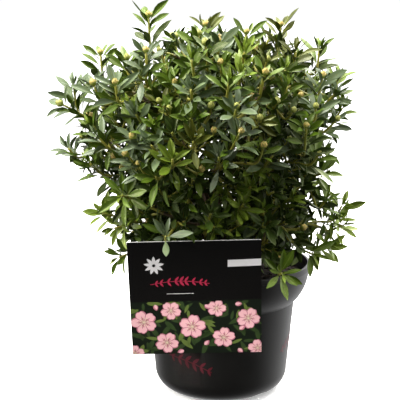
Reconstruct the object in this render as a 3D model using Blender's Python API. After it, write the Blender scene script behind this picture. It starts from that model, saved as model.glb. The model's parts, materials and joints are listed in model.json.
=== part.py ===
"""A potted dwarf rhododendron: a dense evergreen shrub in a black nursery container, with a hanging card.

Metres, +Z up. The origin is the middle of the container's flat underside and the front is -Y.
The crown is a turned envelope cut into cells, one for each mass of foliage. A mass is one stem that
forks by a seeded rule towards its share of the shoot tips, with leaves and flower buds fused on, and a
smaller dense core that they stand out of.
"""

import math
import random

import bmesh
import bpy
from mathutils import Matrix, Vector

UP = Vector((0, 0, 1))
GAP = 0.0003  # between touching pieces

# Container
POT_HEIGHT = 0.167
POT_SIDES = 36
WALL = 0.0020
FOOT_RADIUS = 0.060
SHOULDER_RADIUS = 0.026  # rounding between the foot and the side
NECK_RADIUS = 0.0950
NECK_HEIGHT = 0.1174  # crease under the collar
RIM_RADIUS = 0.115
RIM_THICKNESS = 0.0035
LIP_HEIGHT = 0.007
LIP_BEVEL = 0.001
COLLAR_SWELL = (0.0035, 0.0151)  # fullest point of the collar: in from the rim's edge, up from the crease
COLLAR_TOP = (0.0013, 0.0100)  # where the lip takes over: in from the rim's edge, down from the top
SOIL_LEVEL = 0.150
SOIL_CROWNING = 0.004
SOIL_CROWN_STEPS = ((0.62, 0.7), (0.25, 1.0))  # share of the soil's radius, share of the crowning there
CUTTER_REACH = 0.010  # how far a cutter runs past what it cuts

# Drainage channels in the underside
CHANNEL_AZIMUTHS = (41, 161, 281)  # from the front towards +X, degrees
CHANNEL_HALF_WIDTH = 0.0165
CHANNEL_HEIGHT = 0.0075
CHANNEL_START = 0.030
DRAIN_RADIUS = 0.004
DRAIN_RING = 0.067
DRAIN_SPREAD = 11

# Hanging card
CARD_WIDTH = 0.157
CARD_HEIGHT = 0.151
CARD_THICKNESS = 0.0008
CARD_LEAN = 12.5  # top forward, degrees
CARD_ROLL = 1.4  # anticlockwise seen from the front, degrees
CARD_OFFSET = -0.033
CARD_ABOVE_REST = 0.062
CARD_REST_HEIGHT = 0.160
HOOK_WIDTH = 0.022
HOOK_DROP = 0.010
HOOK_SLACK = 0.0019  # between the hook and the inside of the rim
HOOK_ROOT = 0.6  # how deep the hook is fused into the card, as a share of its thickness

# Short main stem and the boughs
TRUNK_FOOT = Vector((0.004, 0.001, SOIL_LEVEL + SOIL_CROWNING + GAP))
TRUNK_TOP = Vector((-0.003, 0.0, 0.216))
TRUNK_RADIUS = 0.0120
TRUNK_TAPER = 0.24
FLARE = 0.9
FLARE_REACH = 0.016
FLARE_LOBES = 5
FLARE_LOBING = 0.20
TRUNK_STEPS = 7
TRUNK_DOME = 0.004
TRUNK_DOME_TOP = 0.6  # radius of the dome's top, as a share of the stem's
BOUGH_FOOT_RADIUS = 0.0038
BOUGH_TIP_RADIUS = 0.0021
BOUGH_SIDES = 6
BOUGH_STEPS = 4
BOUGH_SWEEP = 0.55  # how far a bough keeps its first direction

# Crown outline, where the leaves end: height, radius, sideways lean of its axis
CROWN_PROFILE = (
    (0.166, 0.122, -0.004),
    (0.190, 0.134, 0.000),
    (0.215, 0.152, 0.001),
    (0.250, 0.154, 0.000),
    (0.280, 0.152, -0.012),
    (0.315, 0.168, -0.028),
    (0.350, 0.178, -0.026),
    (0.385, 0.178, -0.019),
    (0.412, 0.160, -0.010),
    (0.435, 0.145, -0.008),
    (0.456, 0.118, -0.004),
    (0.474, 0.085, -0.010),
    (0.484, 0.000, -0.010),
)

# Rings of masses: name, centre height and radius, count, first azimuth, bough's foot height and rise
MASS_RINGS = (
    ("skirt", 0.215, 0.118, 5, 46, 0.170, 20),
    ("side", 0.305, 0.118, 5, 66, 0.187, 38),
    ("shoulder", 0.392, 0.090, 4, 40, 0.203, 46),
)
TOP_MASS_CENTRE = Vector((-0.022, -0.005, 0.442))
HEART = Vector((-0.004, 0.0, 0.225))
ENTRY_SHARES = (0.48, 0.54, 0.58, 0.62, 0.66, 0.70, 0.74, 0.78)  # of the way from heart to mass's centre
ENTRY_MARGIN = 0.005  # how far inside its mass's cell a bough ends
CELL_MARGIN = 0.0007

# Points of the outline that single shoots reach
LEADERS = (
    ("top_left_spire", Vector((-0.101, -0.030, 0.489))),
    ("upper_left", Vector((-0.156, -0.020, 0.446))),
    ("left", Vector((-0.208, -0.020, 0.387))),
    ("left_furthest", Vector((-0.226, -0.030, 0.345))),
    ("left_under", Vector((-0.214, -0.030, 0.305))),
    ("left_hollow", Vector((-0.160, -0.020, 0.262))),
    ("left_waist", Vector((-0.162, -0.040, 0.224))),
    ("left_skirt", Vector((-0.149, -0.050, 0.170))),
    ("card_sprig", Vector((-0.062, -0.168, 0.238))),
    ("rim_sprig", Vector((0.074, -0.133, 0.165))),
    ("right_skirt", Vector((0.163, -0.040, 0.192))),
    ("right_waist", Vector((0.168, -0.030, 0.240))),
    ("right_hollow", Vector((0.144, -0.030, 0.300))),
    ("right_furthest", Vector((0.171, -0.020, 0.346))),
    ("right", Vector((0.164, -0.020, 0.384))),
    ("upper_right", Vector((0.141, -0.010, 0.448))),
    ("top_right", Vector((0.076, -0.030, 0.485))),
    ("upper_back", Vector((-0.060, 0.140, 0.440))),
    ("back", Vector((0.060, 0.178, 0.360))),
    ("back_waist", Vector((-0.040, 0.166, 0.245))),
)

# Core of a mass, which its leaves stand out of
CORE_DEPTH = 0.041  # under the outline
CORE_GAP = 0.0035  # inside the cell
CORE_PLACE = 0.86  # of the way from the heart to the mass's centre
CORE_FLOOR = 0.184
CORE_REACH = 0.110
CORE_STEP = 0.002
CORE_ROUGHNESS = 0.08
CORE_DETAIL = 2
KEEP_CORE_PAST_BOUGH = 0.003

# Open heart of the crown, where the boughs rise: height, radius, sideways lean of its axis
HEART_PROFILE = (
    (0.150, 0.054, 0.000),
    (0.225, 0.064, -0.004),
    (0.265, 0.070, -0.010),
    (0.348, 0.076, -0.012),
    (0.358, 0.062, -0.010),
    (0.368, 0.000, -0.008),
)

# Shoots, leaves and buds
SEED = 11
SHOOTS = 68  # besides the leaders
SHOOT_DEPTHS = (0.91, 1.0)  # how near the outline their leaves end, as a share of its radius
OVERHANG = 0.036  # how far the leaves reach past their shoot's bud
FORKS = 3
FORK_SHARE = 0.34  # share of the way to the tips at which a twig forks
TIP_RADIUS = 0.0010
TWIG_POWER = 0.42  # how a twig thickens with the tips it carries
TWIG_FOOT = 1.15  # radius at a last twig's foot, in tip radii
TWIG_SWEEP = 0.5  # how far a twig keeps its first direction
FORK_TURN = 0.65  # how far a twig turns towards its tips before it forks
LEAVES_PER_SHOOT = 5
LEAF_LENGTH = 0.042
LEAF_SIZES = (0.82, 1.08)
LEAF_WIDTH = 0.0170
LEAF_THICKNESS = 0.0013
LEAF_WIDEST = 0.55  # share of its length
LEAF_SPACING = 0.0115  # least distance between the middles of two leaves
LEAF_TURNS = (0, 100, -100, 180)  # turns about the shoot that a leaf tries before it is left out
LEAFY_LENGTH = 0.030  # leafy end of a shoot
LEAFY_SHARE = 0.9  # most of a shoot's last runs that may carry leaves
FIRST_LEAF = 0.35  # place of the topmost leaf, in leaf steps below the tip
LEAF_BEND_IN = 26  # leaf angle off the shoot at its tip, degrees
LEAF_BEND_OUT = 84  # leaf angle off the shoot at the lower end of its leaves
GOLDEN_ANGLE = math.radians(137.508)
BUD_RADIUS = 0.0036
BUD_LENGTH = 0.0085
BUD_SHARE = 0.75
BUD_SINK = 0.35  # share of a bud's length that is sunk in its twig
KEEP_OFF_POT = 0.003
KEEP_OFF_CARD = 0.0015
KEEP_OFF_BOUGH = 0.0008

# Colours: base colour, roughness
COLOURS = {
    "container": ((0.020, 0.021, 0.022), 0.38),
    "substrate": ((0.045, 0.026, 0.014), 0.95),
    "card": ((0.012, 0.011, 0.012), 0.30),
    "bark": ((0.165, 0.105, 0.060), 0.85),
    "foliage": ((0.062, 0.130, 0.036), 0.45),
    "foliage_shade": ((0.012, 0.026, 0.009), 0.80),
    "young_stem": ((0.150, 0.190, 0.050), 0.60),
    "bud": ((0.360, 0.330, 0.090), 0.55),
}


# ---------------------------------------------------------------- Blender helpers


def clear_scene():
    for obj in list(bpy.data.objects):
        bpy.data.objects.remove(obj)


def material(name):
    """A Principled material from COLOURS, made once."""
    made = bpy.data.materials.get(name)
    if made is None:
        colour, roughness = COLOURS[name]
        made = bpy.data.materials.new(name)
        made.use_nodes = True
        shader = made.node_tree.nodes["Principled BSDF"]
        shader.inputs["Base Color"].default_value = (*colour, 1)
        shader.inputs["Roughness"].default_value = roughness
        shader.inputs["Metallic"].default_value = 0
        made.diffuse_color = (*colour, 1)
    return made


def mesh_object(name, points, faces, finish=None, smooth=False, home=None):
    mesh = bpy.data.meshes.new(name)
    mesh.from_pydata([tuple(p) for p in points], [], faces)
    mesh.update()
    if smooth:
        mesh.shade_smooth()
        mesh.set_sharp_from_angle(angle=math.radians(40))
    obj = bpy.data.objects.new(name, mesh)
    (home or bpy.context.scene.collection).objects.link(obj)
    if finish:
        mesh.materials.append(material(finish))
    return obj


def collection(name):
    made = bpy.data.collections.new(name)
    bpy.context.scene.collection.children.link(made)
    return made


def as_cutter(obj):
    obj.hide_render = True
    obj.display_type = "WIRE"
    return obj


def boolean(obj, operation, other, solver="EXACT"):
    """Adds a Boolean with an object or a whole collection."""
    modifier = obj.modifiers.new(operation.lower(), "BOOLEAN")
    modifier.operation = operation
    modifier.solver = solver
    modifier.material_mode = "TRANSFER"
    if isinstance(other, bpy.types.Collection):
        modifier.operand_type = "COLLECTION"
        modifier.collection = other
    else:
        modifier.object = other


def apply_modifiers(obj):
    """Replaces the object's mesh by the evaluated one and drops its modifiers."""
    graph = bpy.context.evaluated_depsgraph_get()
    finished = bpy.data.meshes.new_from_object(obj.evaluated_get(graph))
    obj.modifiers.clear()
    obj.data = finished


def keep_outer_skin(mesh):
    """Drops every closed surface but the largest: hollows that a union sealed, and loose scraps."""
    shape = bmesh.new()
    shape.from_mesh(mesh)
    left = set(shape.faces)
    skins = []
    while left:
        skin, edge_of_skin = set(), [left.pop()]
        while edge_of_skin:
            face = edge_of_skin.pop()
            skin.add(face)
            near = {other for edge in face.edges for other in edge.link_faces} & left
            left -= near
            edge_of_skin.extend(near)
        skins.append(skin)
    largest = max(skins, key=lambda skin: sum(face.calc_area() for face in skin))
    bmesh.ops.delete(shape, geom=[face for face in shape.faces if face not in largest], context="FACES")
    shape.to_mesh(mesh)
    shape.free()


def join_collection(obj, pieces):
    """One union of the object with every piece of the collection, which is then removed."""
    boolean(obj, "UNION", pieces, "MANIFOLD")
    apply_modifiers(obj)
    keep_outer_skin(obj.data)
    for piece in list(pieces.objects):
        bpy.data.objects.remove(piece)
    bpy.data.collections.remove(pieces)


# ---------------------------------------------------------------- shapes


def turned(profile, sides):
    """Points and faces of a closed solid turned about Z. The profile starts and ends on the axis."""
    rings = profile[1:-1]
    points = [Vector((0, 0, profile[0][1]))]
    for radius, height in rings:
        for k in range(sides):
            angle = 2 * math.pi * k / sides
            points.append(Vector((radius * math.sin(angle), -radius * math.cos(angle), height)))
    points.append(Vector((0, 0, profile[-1][1])))
    last = len(points) - 1
    faces = []
    for k in range(sides):
        after = (k + 1) % sides
        faces.append((0, 1 + after, 1 + k))
        for ring in range(len(rings) - 1):
            low = 1 + ring * sides
            high = low + sides
            faces.append((low + k, low + after, high + after, high + k))
        top = 1 + (len(rings) - 1) * sides
        faces.append((top + k, top + after, last))
    return points, faces


def bent(start, control, end, share):
    """A point on the quadratic curve from start to end that leaves towards control."""
    return start.lerp(control, share).lerp(control.lerp(end, share), share)


def tube(path, radii, sides):
    """Points and faces of a closed tapering tube along a path, its first side carried along untwisted."""
    points = []
    side = None
    for i, (centre, radius) in enumerate(zip(path, radii)):
        ahead = path[min(i + 1, len(path) - 1)] - path[max(i - 1, 0)]
        ahead.normalize()
        side = ahead.orthogonal() if side is None else side - ahead * side.dot(ahead)
        side.normalize()
        across = ahead.cross(side)
        for k in range(sides):
            angle = 2 * math.pi * k / sides
            points.append(centre + (side * math.cos(angle) + across * math.sin(angle)) * radius)
    faces = [tuple(reversed(range(sides)))]
    for ring in range(len(path) - 1):
        low = ring * sides
        for k in range(sides):
            after = (k + 1) % sides
            faces.append((low + k, low + after, low + sides + after, low + sides + k))
    faces.append(tuple((len(path) - 1) * sides + k for k in range(sides)))
    return points, faces


def lens(root, along, facing, length, width, thickness, widest):
    """An eight-faced solid with a pointed root and tip: a leaf when flat, a bud when round."""
    across = along.cross(facing).normalized()
    up = across.cross(along).normalized()
    middle = root + along * length * widest
    points = [
        root,
        middle + across * width / 2,
        middle + up * thickness / 2,
        middle - across * width / 2,
        middle - up * thickness / 2,
        root + along * length,
    ]
    faces = [(0, 1, 2), (0, 2, 3), (0, 3, 4), (0, 4, 1), (5, 2, 1), (5, 3, 2), (5, 4, 3), (5, 1, 4)]
    return points, faces


def box(low, high):
    """Points and faces of a box between two corners."""
    points = [Vector((x, y, z)) for x in (low.x, high.x) for y in (low.y, high.y) for z in (low.z, high.z)]
    faces = [(0, 1, 3, 2), (4, 6, 7, 5), (0, 4, 5, 1), (2, 3, 7, 6), (0, 2, 6, 4), (1, 5, 7, 3)]
    return points, faces


# ---------------------------------------------------------------- container, soil and card


def shoulder_points(wall, steps):
    """The rounding from the foot up to the side, drawn in by a wall thickness."""
    reach = SHOULDER_RADIUS - wall
    points = []
    for i in range(steps + 1):
        angle = math.pi / 2 * i / steps
        points.append((FOOT_RADIUS + reach * math.sin(angle), SHOULDER_RADIUS - reach * math.cos(angle)))
    return points


def collar_points(wall, steps):
    """The swelling collar from the crease up to the lip."""
    crease = (NECK_RADIUS - wall, NECK_HEIGHT)
    swell = (RIM_RADIUS - COLLAR_SWELL[0] - wall, NECK_HEIGHT + COLLAR_SWELL[1])
    lip = (RIM_RADIUS - COLLAR_TOP[0] - wall, POT_HEIGHT - COLLAR_TOP[1])
    points = []
    for i in range(steps + 1):
        share = i / steps
        near = [a + (b - a) * share for a, b in zip(crease, swell)]
        far = [a + (b - a) * share for a, b in zip(swell, lip)]
        points.append(tuple(a + (b - a) * share for a, b in zip(near, far)))
    return points


def outer_profile():
    lip = [
        (RIM_RADIUS, POT_HEIGHT - LIP_HEIGHT),
        (RIM_RADIUS, POT_HEIGHT - LIP_BEVEL),
        (RIM_RADIUS - LIP_BEVEL, POT_HEIGHT),
    ]
    return [(0, 0), *shoulder_points(0, 3), *collar_points(0, 3), *lip, (0, POT_HEIGHT)]


def inner_profile(extra, bottom, top):
    """The inside of the wall, drawn in by an extra clearance and cut off at two heights."""
    wall = WALL + extra
    inside = [*shoulder_points(wall, 2), *collar_points(wall, 2)]
    inside.append((RIM_RADIUS - RIM_THICKNESS - extra, POT_HEIGHT - LIP_HEIGHT))
    inside.append((RIM_RADIUS - RIM_THICKNESS - extra, POT_HEIGHT + CUTTER_REACH))
    cut = []
    for height in (bottom, top):
        below, above = next(pair for pair in zip(inside, inside[1:]) if pair[1][1] >= height)
        share = (height - below[1]) / (above[1] - below[1])
        cut.append((below[0] + (above[0] - below[0]) * share, height))
    between = [p for p in inside if bottom < p[1] < top]
    return [(0, bottom), cut[0], *between, cut[1], (0, top)]


def channel_bars(name, extra):
    """Half-round bars that run out under the foot, as a collection of cutters."""
    bars = collection(name)
    for number, azimuth in enumerate(CHANNEL_AZIMUTHS):
        points = []
        steps = 6
        for reach in (CHANNEL_START - extra, NECK_RADIUS + CUTTER_REACH):
            for i in range(steps + 1):
                angle = math.pi * i / steps
                across = (CHANNEL_HALF_WIDTH + extra) * math.cos(angle)
                points.append(Vector((across, -reach, (CHANNEL_HEIGHT + extra) * math.sin(angle))))
            points.append(Vector((-CHANNEL_HALF_WIDTH - extra, -reach, -CUTTER_REACH)))
            points.append(Vector((CHANNEL_HALF_WIDTH + extra, -reach, -CUTTER_REACH)))
        around = steps + 3
        faces = [tuple(reversed(range(around))), tuple(range(around, 2 * around))]
        for k in range(around):
            after = (k + 1) % around
            faces.append((k, after, around + after, around + k))
        turn = Matrix.Rotation(math.radians(azimuth), 3, "Z")
        as_cutter(mesh_object(f"{name}_{number}", [turn @ p for p in points], faces, home=bars))
    return bars


def drain_holes():
    """Drain holes through the roof of each channel, as a collection of cutters."""
    holes = collection("drain_holes")
    for azimuth in CHANNEL_AZIMUTHS:
        for side in (-DRAIN_SPREAD, DRAIN_SPREAD):
            angle = math.radians(azimuth + side)
            axis = Vector((DRAIN_RING * math.sin(angle), -DRAIN_RING * math.cos(angle), 0))
            path = [axis - CUTTER_REACH * UP, axis + (CHANNEL_HEIGHT + WALL + CUTTER_REACH) * UP]
            hole = tube(path, [DRAIN_RADIUS] * 2, 6)
            as_cutter(mesh_object(f"drain_{azimuth}_{side}", *hole, home=holes))
    return holes


def build_container():
    profile = inner_profile(0, WALL, POT_HEIGHT + CUTTER_REACH)
    cavity = as_cutter(mesh_object("pot_cavity", *turned(profile, POT_SIDES)))
    boolean(cavity, "DIFFERENCE", channel_bars("channel_roofs", WALL), "MANIFOLD")
    pot = mesh_object("pot", *turned(outer_profile(), POT_SIDES), "container", smooth=True)
    boolean(pot, "DIFFERENCE", channel_bars("channels", 0), "MANIFOLD")
    boolean(pot, "DIFFERENCE", cavity, "MANIFOLD")
    boolean(pot, "DIFFERENCE", drain_holes(), "MANIFOLD")


def build_substrate():
    """The compost that fills the container down to its channel roofs, slightly crowned to the middle."""
    profile = inner_profile(GAP, CHANNEL_HEIGHT + WALL + GAP, SOIL_LEVEL)
    edge = profile[-2][0]
    crowned = [(edge * out, SOIL_LEVEL + SOIL_CROWNING * up) for out, up in SOIL_CROWN_STEPS]
    profile = [*profile[:-1], *crowned, (0, SOIL_LEVEL + SOIL_CROWNING)]
    mesh_object("compost", *turned(profile, POT_SIDES), "substrate", smooth=True)


def card_frame():
    """The card's placing: X to its right, Y into its back, Z up its height, origin on the rim contact."""
    lean = Matrix.Rotation(math.radians(CARD_LEAN), 4, "X")
    roll = Matrix.Rotation(math.radians(-CARD_ROLL), 4, "Y")
    rest = Vector((CARD_OFFSET, -RIM_RADIUS - GAP - CARD_THICKNESS, CARD_REST_HEIGHT))
    return Matrix.Translation(rest) @ lean @ roll


def card_corners():
    low = Vector((-CARD_WIDTH / 2, 0, CARD_ABOVE_REST - CARD_HEIGHT))
    high = Vector((CARD_WIDTH / 2, CARD_THICKNESS, CARD_ABOVE_REST))
    return low, high


def hook_boxes():
    """The strip behind the card that hangs over the rim: its bridge and its drop inside the container."""
    inside = -RIM_RADIUS + RIM_THICKNESS + HOOK_SLACK
    over = POT_HEIGHT + GAP
    rise_at_bridge = math.tan(math.radians(CARD_LEAN)) * (over - CARD_REST_HEIGHT)
    outside = -RIM_RADIUS - GAP - CARD_THICKNESS * HOOK_ROOT - rise_at_bridge
    half = HOOK_WIDTH / 2
    far = inside + CARD_THICKNESS
    bridge = (Vector((-half, outside, over)), Vector((half, far, over + CARD_THICKNESS)))
    drop = (Vector((-half, inside, over - HOOK_DROP)), Vector((half, far, over + CARD_THICKNESS / 2)))
    return bridge, drop


def build_card():
    points, faces = box(*card_corners())
    frame = card_frame()
    card = mesh_object("card", [frame @ p for p in points], faces, "card")
    hook = collection("card_hook")
    for number, corners in enumerate(hook_boxes()):
        mesh_object(f"hook_{number}", *box(*corners), home=hook)
    join_collection(card, hook)


# ---------------------------------------------------------------- trunk and boughs


def trunk_radius(height, extra=0):
    """Radius of the main stem: a taper, and a flare towards the soil."""
    share = (height - TRUNK_FOOT.z) / (TRUNK_TOP.z - TRUNK_FOOT.z)
    flare = FLARE * math.exp(-(height - TRUNK_FOOT.z) / FLARE_REACH * 2)
    return TRUNK_RADIUS * (1 - TRUNK_TAPER * share) * (1 + flare) + extra


def trunk_solid(name, extra, finish=None):
    """The main stem, lobed where its roots swell, with a flat cut at the soil and a domed top."""
    sides = 2 * FLARE_LOBES
    points = []
    for step in range(TRUNK_STEPS + 1):
        share = (step / TRUNK_STEPS) ** 1.5
        centre = TRUNK_FOOT.lerp(TRUNK_TOP, share)
        lobing = FLARE_LOBING * (1 - share) ** 3
        for k in range(sides):
            angle = 2 * math.pi * k / sides
            radius = trunk_radius(centre.z, extra) * (1 + lobing * (1 if k % 2 else -1))
            points.append(centre + Vector((math.cos(angle), math.sin(angle), 0)) * radius)
    for k in range(sides):
        angle = 2 * math.pi * k / sides
        radius = trunk_radius(TRUNK_TOP.z, extra) * TRUNK_DOME_TOP
        around = Vector((math.cos(angle), math.sin(angle), 0)) * radius
        points.append(TRUNK_TOP + around + (TRUNK_DOME + extra) * UP)
    faces = [tuple(reversed(range(sides)))]
    for ring in range(TRUNK_STEPS + 1):
        low = ring * sides
        for k in range(sides):
            after = (k + 1) % sides
            faces.append((low + k, low + after, low + sides + after, low + sides + k))
    faces.append(tuple((TRUNK_STEPS + 1) * sides + k for k in range(sides)))
    return mesh_object(name, points, faces, finish, smooth=True)


def trunk_axis(height):
    share = (height - TRUNK_FOOT.z) / (TRUNK_TOP.z - TRUNK_FOOT.z)
    return TRUNK_FOOT.lerp(TRUNK_TOP, share)


def section(profile, height):
    """Radius and lean of a turned profile at a height."""
    for (low, r0, x0), (high, r1, x1) in zip(profile, profile[1:]):
        if height <= high:
            share = max(0.0, (height - low) / (high - low))
            return r0 + (r1 - r0) * share, x0 + (x1 - x0) * share
    return 0.0, profile[-1][2]


def mass_plan():
    """Each mass of foliage: its name, its cell's centre, its bough's path and radii."""
    plan = []
    for ring, height, radius, count, first, foot_height, rise in MASS_RINGS:
        for k in range(count):
            angle = math.radians(first + 360 * k / count)
            outward = Vector((math.sin(angle), -math.cos(angle), 0))
            lean = section(CROWN_PROFILE, height)[1]
            centre = Vector((lean, 0, height)) + outward * radius
            leave = outward * math.cos(math.radians(rise)) + UP * math.sin(math.radians(rise))
            plan.append((f"{ring}_{k + 1}", centre, trunk_axis(foot_height), leave))
    plan.append(("top", TOP_MASS_CENTRE, TRUNK_TOP, UP))
    masses = [{"name": name, "centre": centre} for name, centre, _, _ in plan]
    thinning = (BOUGH_TIP_RADIUS - BOUGH_FOOT_RADIUS) / BOUGH_STEPS
    for mass, (_, centre, foot, leave) in zip(masses, plan):
        ends = [HEART.lerp(centre, share) for share in ENTRY_SHARES]
        end = next(point for point in ends if in_cell(point, mass, masses, ENTRY_MARGIN))
        control = foot + leave * (end - foot).length * BOUGH_SWEEP
        mass["path"] = [bent(foot, control, end, step / BOUGH_STEPS) for step in range(BOUGH_STEPS + 1)]
        mass["radii"] = [BOUGH_FOOT_RADIUS + thinning * step for step in range(BOUGH_STEPS + 1)]
    return masses


def build_boughs(masses):
    clearance = as_cutter(trunk_solid("trunk_clearance", GAP))
    for mass in masses:
        bough = mesh_object(
            "bough_" + mass["name"], *tube(mass["path"], mass["radii"], BOUGH_SIDES), "bark", smooth=True
        )
        boolean(bough, "DIFFERENCE", clearance)


# ---------------------------------------------------------------- where foliage may be


def held_inside(point, mass, masses, margin):
    """The point, moved back into the mass's own cell of space."""
    for other in masses:
        if other is mass:
            continue
        away = other["centre"] - mass["centre"]
        over = (point - (mass["centre"] + other["centre"]) / 2).dot(away.normalized()) + margin
        if over > 0:
            point = point - away.normalized() * over
    return point


def in_cell(point, mass, masses, margin=CELL_MARGIN):
    """True if the point is in the mass's cell, clear of every neighbouring cell by the margin."""
    for other in masses:
        if other is mass:
            continue
        away = other["centre"] - mass["centre"]
        if (point - (mass["centre"] + other["centre"]) / 2).dot(away.normalized()) > -margin:
            return False
    return True


def segment_gap(a, b, c, d):
    """Shortest distance between segments ab and cd, by closing in on the nearest points in turn."""
    span = d - c
    near = (a + b) / 2
    for _ in range(4):
        share = max(0.0, min(1.0, (near - c).dot(span) / span.length_squared))
        there = c + span * share
        along = b - a
        share = max(0.0, min(1.0, (there - a).dot(along) / along.length_squared))
        near = a + along * share
    return (near - there).length


def clear_of_boughs(start, end, half_width, masses):
    """True if a leaf or twig between two points touches no bough."""
    for mass in masses:
        for i in range(BOUGH_STEPS):
            room = half_width + mass["radii"][i] + KEEP_OFF_BOUGH
            if segment_gap(start, end, mass["path"][i], mass["path"][i + 1]) < room:
                return False
    return True


def inside_envelope(point, depth):
    """True if the point lies deeper than this under the crown's surface, from the side and from above."""
    radius, lean = section(CROWN_PROFILE, point.z)
    radius_above = section(CROWN_PROFILE, point.z + depth)[0]
    return math.hypot(point.x - lean, point.y) < min(radius - depth, radius_above)


def outside_heart(point):
    radius, lean = section(HEART_PROFILE, point.z)
    return math.hypot(point.x - lean, point.y) > radius


def clear_of_container(point):
    over_rim = point.z > POT_HEIGHT + KEEP_OFF_POT
    outside = math.hypot(point.x, point.y) > RIM_RADIUS + KEEP_OFF_POT
    return over_rim or outside


def misses_box(start, end, low, high):
    """True if the run between two points passes a box with room to spare."""
    enter, leave = 0.0, 1.0
    for i in range(3):
        rise = end[i] - start[i] or 1e-9
        shares = (low[i] - KEEP_OFF_CARD - start[i]) / rise, (high[i] + KEEP_OFF_CARD - start[i]) / rise
        enter, leave = max(enter, min(shares)), min(leave, max(shares))
    return enter > leave


def clear_of_card(start, end, to_card):
    """True if a run misses the card and its hook. to_card turns a point into the card's own frame."""
    beside_card = misses_box(to_card @ start, to_card @ end, *card_corners())
    return beside_card and all(misses_box(start, end, *corners) for corners in hook_boxes())


# ---------------------------------------------------------------- shoots and leaves


def envelope_table(steps=160):
    """Heights up the envelope, with the share of its surface that lies below each."""
    low, high = CROWN_PROFILE[0][0], CROWN_PROFILE[-1][0]
    heights = [low + (high - low) * i / steps for i in range(steps + 1)]
    shares = [0.0]
    for a, b in zip(heights, heights[1:]):
        ra, rb = section(CROWN_PROFILE, a)[0], section(CROWN_PROFILE, b)[0]
        shares.append(shares[-1] + (ra + rb) * math.hypot(rb - ra, b - a))
    return heights, [s / shares[-1] for s in shares]


def shoot_tips():
    """Tips spread evenly over the envelope in a golden-angle spiral, then the leaders."""
    heights, shares = envelope_table()
    rng = random.Random(SEED)
    tips = []
    for k in range(SHOOTS):
        share = (k + 0.5) / SHOOTS
        step = next(i for i, s in enumerate(shares) if s >= share)
        within = (share - shares[step - 1]) / (shares[step] - shares[step - 1])
        height = heights[step - 1] + (heights[step] - heights[step - 1]) * within
        radius, lean = section(CROWN_PROFILE, height)
        angle = k * GOLDEN_ANGLE
        reach = radius * rng.uniform(*SHOOT_DEPTHS)
        tips.append(Vector((lean + reach * math.sin(angle), -reach * math.cos(angle), height)))
    return tips + [tip for _, tip in LEADERS]


def split_tips(tips, groups):
    """Tips shared out among a few seeds that lie far apart."""
    middle = sum(tips, Vector()) / len(tips)
    seeds = [max(tips, key=lambda t: (t - middle).length)]
    while len(seeds) < min(groups, len(tips)):
        seeds.append(max(tips, key=lambda t: min((t - s).length for s in seeds)))
    shared = [[] for _ in seeds]
    for tip in tips:
        nearest = min(range(len(seeds)), key=lambda i: (tip - seeds[i]).length)
        shared[nearest].append(tip)
    return [group for group in shared if group]


def twig_radius(carried):
    return TIP_RADIUS * carried**TWIG_POWER


def grow(path, radii, leaving, tips, twigs):
    """Carries the twig at the end of path on to its tips. The straightest group goes on, others branch."""
    start = path[-1]
    if len(tips) == 1:
        bud = tips[0] - (tips[0] - start).normalized() * OVERHANG
        control = start + leaving * (bud - start).length * TWIG_SWEEP
        for share in (0.5, 1.0):
            path.append(bent(start, control, bud, share))
            radii.append(twig_radius(1) * (TWIG_FOOT + (1 - TWIG_FOOT) * share))
        twigs.append((path, radii))
        return
    middle = sum(tips, Vector()) / len(tips)
    heading = (middle - start).normalized()
    ahead = (leaving.lerp(heading, FORK_TURN)).normalized()
    fork = start + ahead * (middle - start).length * FORK_SHARE
    groups = split_tips(tips, FORKS)
    groups.sort(key=lambda g: -(sum(g, Vector()) / len(g) - fork).normalized().dot(heading))
    for number, group in enumerate(groups):
        towards = (sum(group, Vector()) / len(group) - fork).normalized()
        on = (heading + towards).normalized()
        if number == 0:
            grow([*path, fork], [*radii, twig_radius(len(tips))], on, group, twigs)
        else:
            grow([fork], [twig_radius(len(group))], on, group, twigs)


def shoot_end(path):
    """The leafy end of a twig: its two last runs, as (start, end) pairs from the tip down."""
    return [(path[-2], path[-1]), (path[-3], path[-2])]


def point_below_tip(path, distance):
    """The point on the twig at a distance below its tip, and the twig's direction there."""
    for low, high in shoot_end(path):
        run = high - low
        if distance <= run.length:
            return high - run.normalized() * distance, run.normalized()
        distance -= run.length
    return low, run.normalized()


def leaf_place(path, number, k, turn):
    """Root, direction and facing of leaf k of a shoot. The spiral of leaves closes in towards the tip."""
    reach = min(LEAFY_LENGTH, LEAFY_SHARE * sum((high - low).length for low, high in shoot_end(path)))
    share = (k + FIRST_LEAF) / LEAVES_PER_SHOOT
    root, ahead = point_below_tip(path, reach * share)
    around = Matrix.Rotation(k * GOLDEN_ANGLE + number + math.radians(turn), 3, ahead)
    side = around @ ahead.orthogonal().normalized()
    angle = math.radians(LEAF_BEND_IN + (LEAF_BEND_OUT - LEAF_BEND_IN) * share)
    return root, ahead * math.cos(angle) + side * math.sin(angle), ahead


def may_be_here(points, start, end, half_width, mass, masses, to_card):
    """The test that every twig, leaf and bud passes before it is fused on."""
    spine = [start.lerp(end, share) for share in (0.25, 0.5, 0.75)]
    return (
        all(in_cell(p, mass, masses) for p in points)
        and all(clear_of_container(p) for p in [*points, *spine])
        and all(clear_of_card(start, p, to_card) and clear_of_card(end, p, to_card) for p in points)
        and clear_of_boughs(start, end, half_width, masses)
    )


def core_may_reach(point, mass, masses, to_card):
    end = mass["path"][-1]
    leaving = (end - mass["path"][-2]).normalized()
    return (
        point.z > CORE_FLOOR
        and in_cell(point, mass, masses, CORE_GAP)
        and inside_envelope(point, CORE_DEPTH)
        and outside_heart(point)
        and (point - end).dot(leaving) > KEEP_CORE_PAST_BOUGH
        and clear_of_card(point, point, to_card)
    )


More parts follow.
